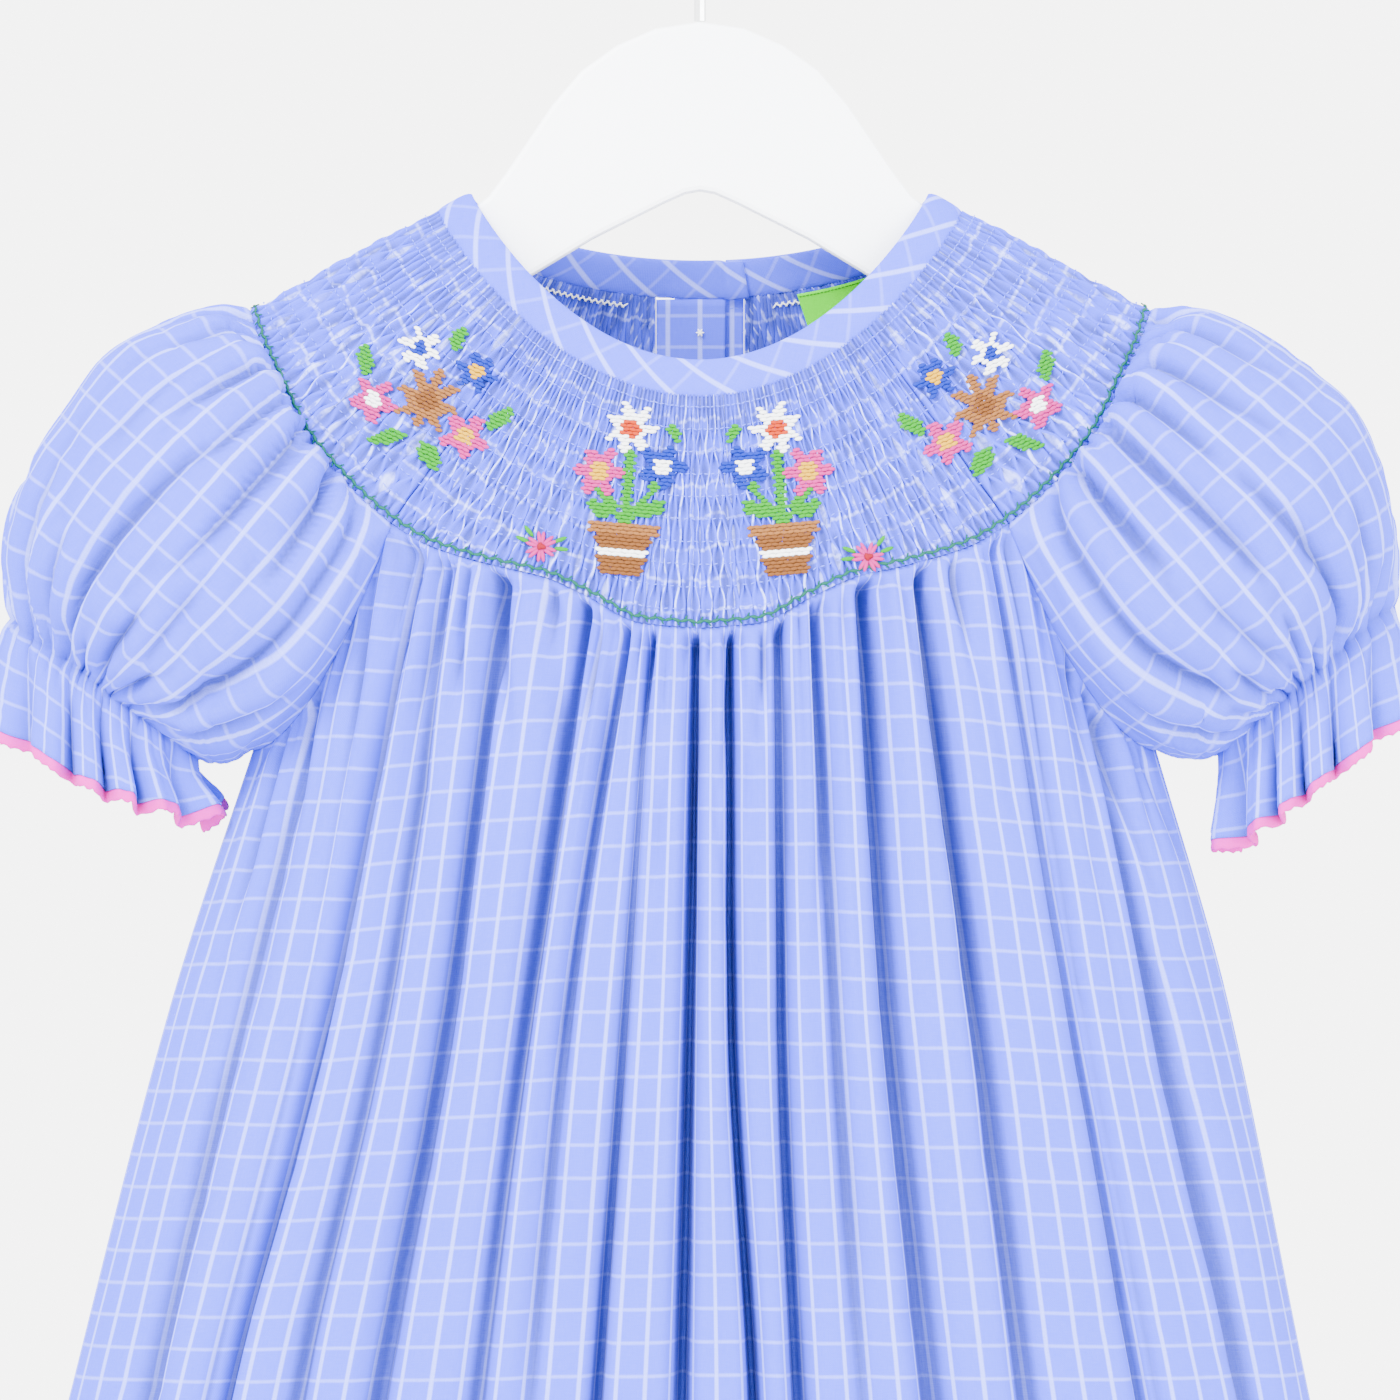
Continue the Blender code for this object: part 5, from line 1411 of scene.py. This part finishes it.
def posy_thread(a, b, kind):
    """The thread at a place of a posy, or None where the cloth shows."""
    blooms = POT_BLOOMS if kind == "pot" else SPRAY_BLOOMS
    leaves = POT_LEAVES if kind == "pot" else SPRAY_LEAVES
    for bloom in blooms:
        found = daisy(a, b, bloom)
        if found:
            return found
    if any(leaf(a, b, shape) for shape in leaves):
        return "leaf"
    if kind == "pot":
        if 6.2 < b < 9.0 and abs(a) < 7.6:
            return "sand"
        if 9.0 <= b < 18.5 and abs(a) < 6.6 - (b - 9.0) * 0.22:
            return "white" if 12.2 < b < 13.8 else "tan"
        if any(stem(a, b, line) for line in POT_STEMS):
            return "leaf"
    return None


def posies():
    """Stacked cable stitches that fill each posy, sorted by thread."""
    found = {}
    for x, z, kind, mirrored, size, tilt in POSIES:
        sewn = []
        for i in range(-30, 31):
            for j in range(-16, 17):
                a = (j + 0.5 * (i % 2)) * STITCH_PITCH
                b = i * ROW_PITCH
                name = posy_thread(a * mirrored / size, b / size, kind)
                if name:
                    sewn.append((a, b, 1 if j % 2 else -1, name))
        a, b, sign = (np.array([row[k] for row in sewn], float) for k in range(3))
        right_x, right_z = math.cos(math.radians(tilt)), math.sin(math.radians(tilt))
        at_x, at_z = x + a * right_x + b * right_z, z + a * right_z - b * right_x
        share, drop = on_yoke(at_x, at_z)
        here, normal = yoke_point(share, drop), yoke_normal(share, drop)
        way = unit(yoke_point(*on_yoke(at_x + right_x, at_z + right_z)) - here)
        way = way + 0.12 * sign[:, None] * np.cross(normal, way)
        places = here + normal * (RIB_HEIGHT + 0.12)
        for k, row in enumerate(sewn):
            found.setdefault(row[3], []).append((places[k], way[k], normal[k]))
    return found


def small_flower(x, z, found):
    """A little pink bullion flower with two green leaves."""
    share, drop = on_yoke(x, z)
    wide, down = local_frame(share, drop)
    normal = yoke_normal(share, drop)
    middle = yoke_point(share, drop) + normal * (RIB_HEIGHT + 0.35)
    for k in range(6):
        turn = math.radians(60 * k + 12)
        way = wide * math.cos(turn) + down * math.sin(turn)
        side = np.cross(normal, way)
        for offset in (-0.45, 0.45):
            place = middle + way * 2.3 + side * offset
            found.setdefault("big_pink", []).append((place, way + side * offset * 0.35, normal))
    found.setdefault("big_rose", []).append((middle + normal * 0.5 + wide * 0.3, wide, normal))
    found.setdefault("big_rose", []).append((middle + normal * 0.5 - wide * 0.3, down, normal))
    for sign in (-1, 1):
        for lean in (0.15, 0.75):
            way = wide * sign + down * (-lean)
            place = middle + unit(way) * 5.4 - normal * 0.2
            found.setdefault("big_leaf", []).append((place, way, normal))
    return found


def feather_line(found):
    """The green feather stitches along the yoke's lower edge, all round but for the placket."""
    total = lengths(EDGE_LINE)[-1]
    limit = 1 - (PLACKET_HALF + 1.0) / total
    last = int(limit * total / FEATHER_PITCH)
    for k in range(-last, last + 1):
        share = k * FEATHER_PITCH / total
        drop = 1 - 1.7 / float(reach_of(share))
        wide, down = local_frame(share, drop)
        normal = unit(yoke_normal(share, drop) + yoke_seam_turn(share) * 0.3)
        base = yoke_point(share, drop) + normal * (RIB_HEIGHT + 0.1)
        sign = 1 if k % 2 else -1
        found.setdefault("vine", []).append((base, wide + down * 0.3 * sign, normal))
        tip = base + down * 0.95 * sign + wide * 0.5
        found.setdefault("barb", []).append((tip, down * sign + wide * 0.8, normal))
    return found


def smocking_rows(found):
    """Cable stitches in the cloth's own colour that hold the pleats, row by row."""
    total = lengths(EDGE_LINE)[-1]
    for row in range(1, CABLE_ROWS + 1):
        down_mm = BINDING_WIDTH + 1.0 + SMOCKING_ROW * (row - 0.65)
        for k in range(-CABLE_COUNT, CABLE_COUNT):
            share = (k + 0.5 * (row % 2)) / CABLE_COUNT * (1 - (PLACKET_HALF + 1.5) / total)
            reach = float(reach_of(share))
            if down_mm > reach - 4.0:
                continue
            drop = down_mm / reach
            normal = yoke_normal(share, drop)
            wide, down = local_frame(share, drop)
            sign = 1 if k % 2 else -1
            place = yoke_point(share, drop) + normal * (RIB_HEIGHT * 0.92)
            found.setdefault("cable", []).append((place, wide + down * 0.22 * sign, normal))
    return found


def back_smocking(found):
    """White rows of stitches on the inside of the back yoke."""
    for down_mm in INSIDE_ROWS:
        for k in range(32):
            for sign in (-1, 1):
                share = sign * (BACK_SEAM + 0.01 + (0.985 - BACK_SEAM - 0.10) * k / 32)
                reach = float(reach_of(share))
                if down_mm > reach - 3:
                    continue
                drop = down_mm / reach
                if abs(share) > opening_share(drop, PLACKET_HALF + 1.5):
                    continue
                normal = yoke_normal(share, drop)
                wide, down = local_frame(share, drop)
                lean = 0.9 if k % 2 else -0.9
                place = yoke_point(share, drop) - normal * 0.75
                found.setdefault("inside", []).append((place, wide + down * lean, -normal))
    return found


STITCH_KINDS = {
    # thread, length, width, height
    "vine": ("green", 2.6, 1.05, 0.75),
    "barb": ("green", 1.3, 0.55, 0.45),
    "cable": ("cotton", 1.3, 0.34, 0.3),
    "inside": ("white", 2.3, 0.5, 0.4),
    "big_pink": ("pink", 4.2, 1.25, 0.9),
    "big_rose": ("rose", 2.3, 1.5, 1.2),
    "big_leaf": ("leaf", 4.2, 1.3, 0.8),
}


def embroidery():
    """All sewn thread on the yoke, one piece for each kind."""
    for name, made in posies().items():
        places, ways, ups = (np.array(part) for part in zip(*made))
        obj = stitches(f"posy_{name}", places, ways, ups, POSY_STITCH, THREADS[name])
        finish_piece(obj)
    found = {}
    for x, z in SMALL_FLOWERS:
        small_flower(x, z, found)
    feather_line(found)
    smocking_rows(found)
    back_smocking(found)
    for name, made in found.items():
        places, ways, ups = (np.array(part) for part in zip(*made))
        kind, *size = STITCH_KINDS[name]
        obj = stitches(f"stitches_{name}", places, ways, ups, size, THREADS[kind])
        finish_piece(obj)


# Back opening, label and hem

def back_centre_line(grid, count=60):
    """Points down the back centre from under the binding, with their outward normals."""
    start = (BINDING_WIDTH + 0.2) / float(reach_of(1.0))
    line = yoke_point(np.full(24, 0.9999), np.linspace(start, 1.0, 24))
    line[:, 0] = 0
    low = YOKE_EDGE[-1][2] - PLACKET_BELOW_YOKE
    rows = [row[np.abs(row[:, 0]) < PLACKET_HALF] for row in grid[1:]]
    body = np.array([[0, row[:, 1].max() + 0.1, row[:, 2].mean()] for row in rows])
    body = body[(body[:, 2] > low) & (body[:, 2] < YOKE_EDGE[-1][2] - 3)]
    line = along(np.concatenate([line, body]), np.linspace(0, 1, count))
    for k in range(3):
        soft = np.convolve(np.pad(line[:, k], 3, mode="edge"), np.ones(7) / 7, mode="valid")
        line[3:-3, k] = soft[3:-3]
    slope = np.gradient(line, axis=0)
    return line, unit(np.stack([np.zeros(len(line)), -slope[:, 2], slope[:, 1]], axis=-1))


def placket(line, normals):
    """The two strips of the back opening and the stitching along them."""
    edge_z = YOKE_EDGE[-1][2]
    inside = np.flatnonzero(line[:, 2] > edge_z + 1.0)
    seams = []
    whole = np.arange(len(line))
    for name, node_name, rows, low, high, lift in (
        ("placket_inner", "placket_under", inside, -PLACKET_HALF, PLACKET_LAP, 0.1),
        ("placket_outer", "placket_over", whole, -PLACKET_LAP, PLACKET_HALF, RIB_HEIGHT + 0.4),
    ):
        xs = np.linspace(high, low, 25)
        pillow = 0.35 * (1 - ((xs - (high + low) / 2) / ((high - low) / 2)) ** 6)
        rise = lift + pillow[None, :] * np.ones((len(rows), 1))
        rise += 0.12 * wander(xs[None] * 0.3, line[rows, 2][:, None] * 0.12, 21)
        grid = line[rows][:, None] + normals[rows][:, None] * rise[..., None]
        grid[..., 0] += xs[None]
        tall = lengths(line[rows])
        uv = np.stack(np.broadcast_arrays(-xs[None] + 4.4, -tall[:, None]), axis=-1)
        obj = cloth(name, grid, uv, np.zeros(grid.shape[:2]), COTTON, thick=PLACKET_THICK)
        finish_piece(obj, (node_name,))
        declare_sheet(grid)
        if node_name == "placket_over":
            seams = grid
    marks = {"way": [], "place": [], "up": []}
    count = seams.shape[0]
    for column in (2, 22):
        path = along(seams[:, column], np.linspace(0.01, 0.99, 44))
        for k in range(44):
            i = min(int(k / 44 * count), count - 1)
            marks["place"].append(path[k] + normals[i] * 0.12)
            marks["way"].append(path[min(k + 1, 43)] - path[max(k - 1, 0)])
            marks["up"].append(normals[i])
    across = seams[-3, 2:23:2]
    for k in range(len(across) - 1):
        marks["place"].append((across[k] + across[k + 1]) / 2 + normals[-1] * 0.12)
        marks["way"].append(across[k + 1] - across[k])
        marks["up"].append(normals[-1])
    obj = stitches("placket_stitching", marks["place"], marks["way"], marks["up"],
                   (1.9, 0.4, 0.35), THREADS["cotton"])
    finish_piece(obj)


def button_threads(line, normals):
    """White thread through each button's two holes, and its knots on the inside."""
    at = lengths(line)
    places, ways, ups = [], [], []
    for drop in BUTTON_DROPS:
        place = np.array([np.interp(drop, at, line[:, k]) for k in range(3)])
        normal = np.array([np.interp(drop, at, normals[:, k]) for k in range(3)])
        for k in (-1, 0, 1):
            places.append(place + normal * 4.35 + np.cross(normal, [1, 0, 0]) * 0.3 * k)
            ways.append((1, 0, 0))
            ups.append(normal)
        if drop < 60:
            for k in range(3):
                turn = math.radians(60 * k)
                way = np.array([math.cos(turn), 0, math.sin(turn)])
                places.append(place - normal * 1.25)
                ways.append(way)
                ups.append(-normal)
    obj = stitches("button_thread", places, ways, ups, (2.6, 0.6, 0.55), THREADS["white"])
    finish_piece(obj)


def neck_label():
    """A bare green woven label with turned ends, sewn inside the back yoke."""
    near, far = opening_share(0.2, LABEL_X), BACK_SEAM + 0.008
    shares = np.linspace(far, near, 41)
    reach = reach_of(shares)
    grid, uv = [], []
    for t in np.linspace(0, 1, 25):
        drop = (BINDING_WIDTH + 0.6 + (LABEL_HEIGHT - 1) * t) / reach
        wave = 0.35 * np.sin(np.linspace(0, 7, 41) + 3 * t) * t
        lift = wave - (0.95 + 0.9 * t)
        grid.append(yoke_point(shares, drop) + yoke_normal(shares, drop) * lift[:, None])
        uv.append(np.stack([np.linspace(0, 24, 41), np.full(41, -LABEL_HEIGHT * t)], axis=-1))
    grid = np.array(grid)
    obj = cloth("label_cloth", grid, np.array(uv), np.zeros(grid.shape[:2]), LABEL_GREEN, thick=0.5)
    finish_piece(obj, ("neck_label",))
    declare_sheet(grid)
    top = grid[1]
    ups = -yoke_normal(shares, (BINDING_WIDTH + 1.2) / reach)
    places = (top[:-1] + top[1:]) / 2 + ups[:-1] * 0.65
    obj = stitches("label_stitching", places[::2], (top[1:] - top[:-1])[::2], ups[:-1][::2],
                   (0.9, 0.35, 0.3), THREADS["leaf"])
    finish_piece(obj)


def hem_stitching(grids):
    """A blind hem: small stitches in the cloth's colour, above the edge."""
    places, ways, ups = [], [], []
    for grid, sign in grids:
        normals = grid_normals(grid) * sign
        tall = grid[-1, :, 2].mean() + HEM_TURN
        row = int(np.abs(grid[:, :, 2].mean(axis=1) - tall).argmin())
        line, up = grid[row], normals[row]
        at = lengths(line)
        for where in np.arange(3.0, at[-1] - 3.0, HEM_STITCH_PITCH):
            i = int(np.searchsorted(at, where))
            places.append(line[i] + up[i] * 0.12)
            ways.append(line[min(i + 1, len(line) - 1)] - line[i - 1])
            ups.append(up[i])
    obj = stitches("hem_stitching", places, ways, ups, (1.3, 0.4, 0.35), THREADS["cotton"])
    finish_piece(obj)


# The whole dress

def seam_cloth(shares, places):
    """Cloth place for a share of the yoke's edge, so that the check runs on across the seam."""
    order = np.argsort(shares)
    knots, values = np.asarray(shares)[order], np.asarray(places)[order]
    return lambda share: np.interp(share, knots, values)


def dress():
    front, front_uv = panel("front_cloth", "front_panel", FRONT_FOLDS, FRONT_GRID, seed=3)
    back, back_uv = panel("back_cloth", "back_panel", BACK_FOLDS, BACK_GRID, back=True, seed=12)
    body = tree_of(((front, False), (back, True)))
    right = sleeve(1, SLEEVE_RIGHT + FRILL_RIGHT, CREASES_RIGHT, "right", body, seed=31)
    left = sleeve(-1, SLEEVE_LEFT + FRILL_LEFT, CREASES_LEFT, "left", body, seed=44)
    top = front[0]
    on_front = np.abs(top[:, 0]) <= RAGLAN_X
    front_cloth = seam_cloth(
        np.sign(top[on_front, 0]) * share_at(np.abs(top[on_front, 0])), front_uv[0, on_front, 0]
    )
    top = back[0]
    on_back = np.abs(top[:, 0]) <= RAGLAN_X
    back_shares = np.sign(top[on_back, 0]) * share_at(np.abs(top[on_back, 0]), back=True)
    rear = back_uv[0, on_back, 0]
    back_right = seam_cloth(back_shares[back_shares > 0], rear[back_shares > 0])
    back_left = seam_cloth(back_shares[back_shares < 0], rear[back_shares < 0])
    sleeve_cloths = []
    for shares, wide, angles in (right, left):
        turned = np.where(angles > math.pi, wide - 2 * math.pi * SLEEVE_ROUND, wide)
        on_seam = (shares > FRONT_SEAM) & (shares < BACK_SEAM)
        sleeve_cloths.append(seam_cloth(shares[on_seam], turned[on_seam]))
    gap = SEAM_GAP / 2 / lengths(EDGE_LINE)[-1]
    lap = PLACKET_HALF + SEAM_GAP
    smocked("smocking_front", "yoke_front", lambda d: -FRONT_SEAM + gap,
            lambda d: FRONT_SEAM - gap, FRONT_PLEATS, front_cloth, 51)
    smocked("smocking_sleeve_right", "yoke_sleeve_right", lambda d: FRONT_SEAM + gap,
            lambda d: BACK_SEAM - gap, SLEEVE_PLEATS, sleeve_cloths[0], 52)
    smocked("smocking_sleeve_left", "yoke_sleeve_left", lambda d: -BACK_SEAM + gap,
            lambda d: -FRONT_SEAM - gap, SLEEVE_PLEATS, lambda s: sleeve_cloths[1](-s), 53)
    smocked("smocking_back_right", "yoke_back_right", lambda d: BACK_SEAM + gap,
            lambda d: opening_share(d, lap), BACK_PLEATS, back_right, 54)
    smocked("smocking_back_left", "yoke_back_left", lambda d: -opening_share(d, lap),
            lambda d: -BACK_SEAM - gap, BACK_PLEATS, back_left, 55)
    neck_binding()
    embroidery()
    line, normals = back_centre_line(back)
    placket(line, normals)
    button_threads(line, normals)
    neck_label()
    hem_stitching(((front, 1), (back, -1)))


def hard_parts():
    """The hanger and buttons keep their solids and get their finish."""
    board, wire, resin = painted_board(), hook_wire(), button_gloss()
    finishes = {"hanger_board": board, "hanger_hook": wire,
                "button_1": resin, "button_2": resin, "button_3": resin}
    for name, finish in finishes.items():
        obj = frame["nodes"][name]
        obj.data.materials.clear()
        obj.data.materials.append(finish)


# Camera, light and floor

CAMERA_DISTANCE = 2.2
FRAME_WIDTH = 0.371
FRAME_CENTRE_Z = -0.2429
SENSOR = 36.0
GARMENT_FRONT_Y = -0.04
FLOOR_Z = -0.78
FLOOR_SIZE = 8
FLOOR_COLOUR = (0.86, 0.86, 0.87)
SKY_STRENGTH = 6.2
LIGHTS = (
    # name, place, aimed at, size, watts
    ("key", (-0.9, -1.6, 0.9), (0, 0, -0.28), 0.7, 130.0),
    ("fill", (1.2, -1.5, 0.1), (0, 0, -0.3), 1.0, 40.0),
)


def camera():
    data = bpy.data.cameras.new("camera")
    data.sensor_width = SENSOR
    data.lens = SENSOR * (CAMERA_DISTANCE + GARMENT_FRONT_Y) / FRAME_WIDTH
    obj = bpy.data.objects.new("camera", data)
    obj.location = (0, -CAMERA_DISTANCE, FRAME_CENTRE_Z)
    obj.rotation_euler = (math.radians(90), 0, 0)
    bpy.context.scene.collection.objects.link(obj)
    bpy.context.scene.camera = obj


def area_light(name, place, aim, size, power):
    data = bpy.data.lights.new(name, "AREA")
    data.shape = "DISK"
    data.size = size
    data.energy = power
    obj = bpy.data.objects.new(name, data)
    obj.location = place
    obj.rotation_euler = (Vector(aim) - Vector(place)).to_track_quat("-Z", "Y").to_euler()
    bpy.context.scene.collection.objects.link(obj)


def studio():
    world = bpy.data.worlds.new("studio")
    world.use_nodes = True
    sky = world.node_tree.nodes["Background"]
    sky.inputs["Color"].default_value = (1.0, 1.0, 1.0, 1)
    sky.inputs["Strength"].default_value = SKY_STRENGTH
    bpy.context.scene.world = world
    for name, place, aim, size, power in LIGHTS:
        area_light(name, place, aim, size, power)
    bpy.ops.mesh.primitive_plane_add(size=FLOOR_SIZE, location=(0, 0, FLOOR_Z))
    floor = bpy.context.object
    floor.name = "floor"
    finish = new_material("pale_floor", FLOOR_COLOUR, 0.7)[0]
    floor.data.materials.append(finish)


hard_parts()
dress()
camera()
studio()
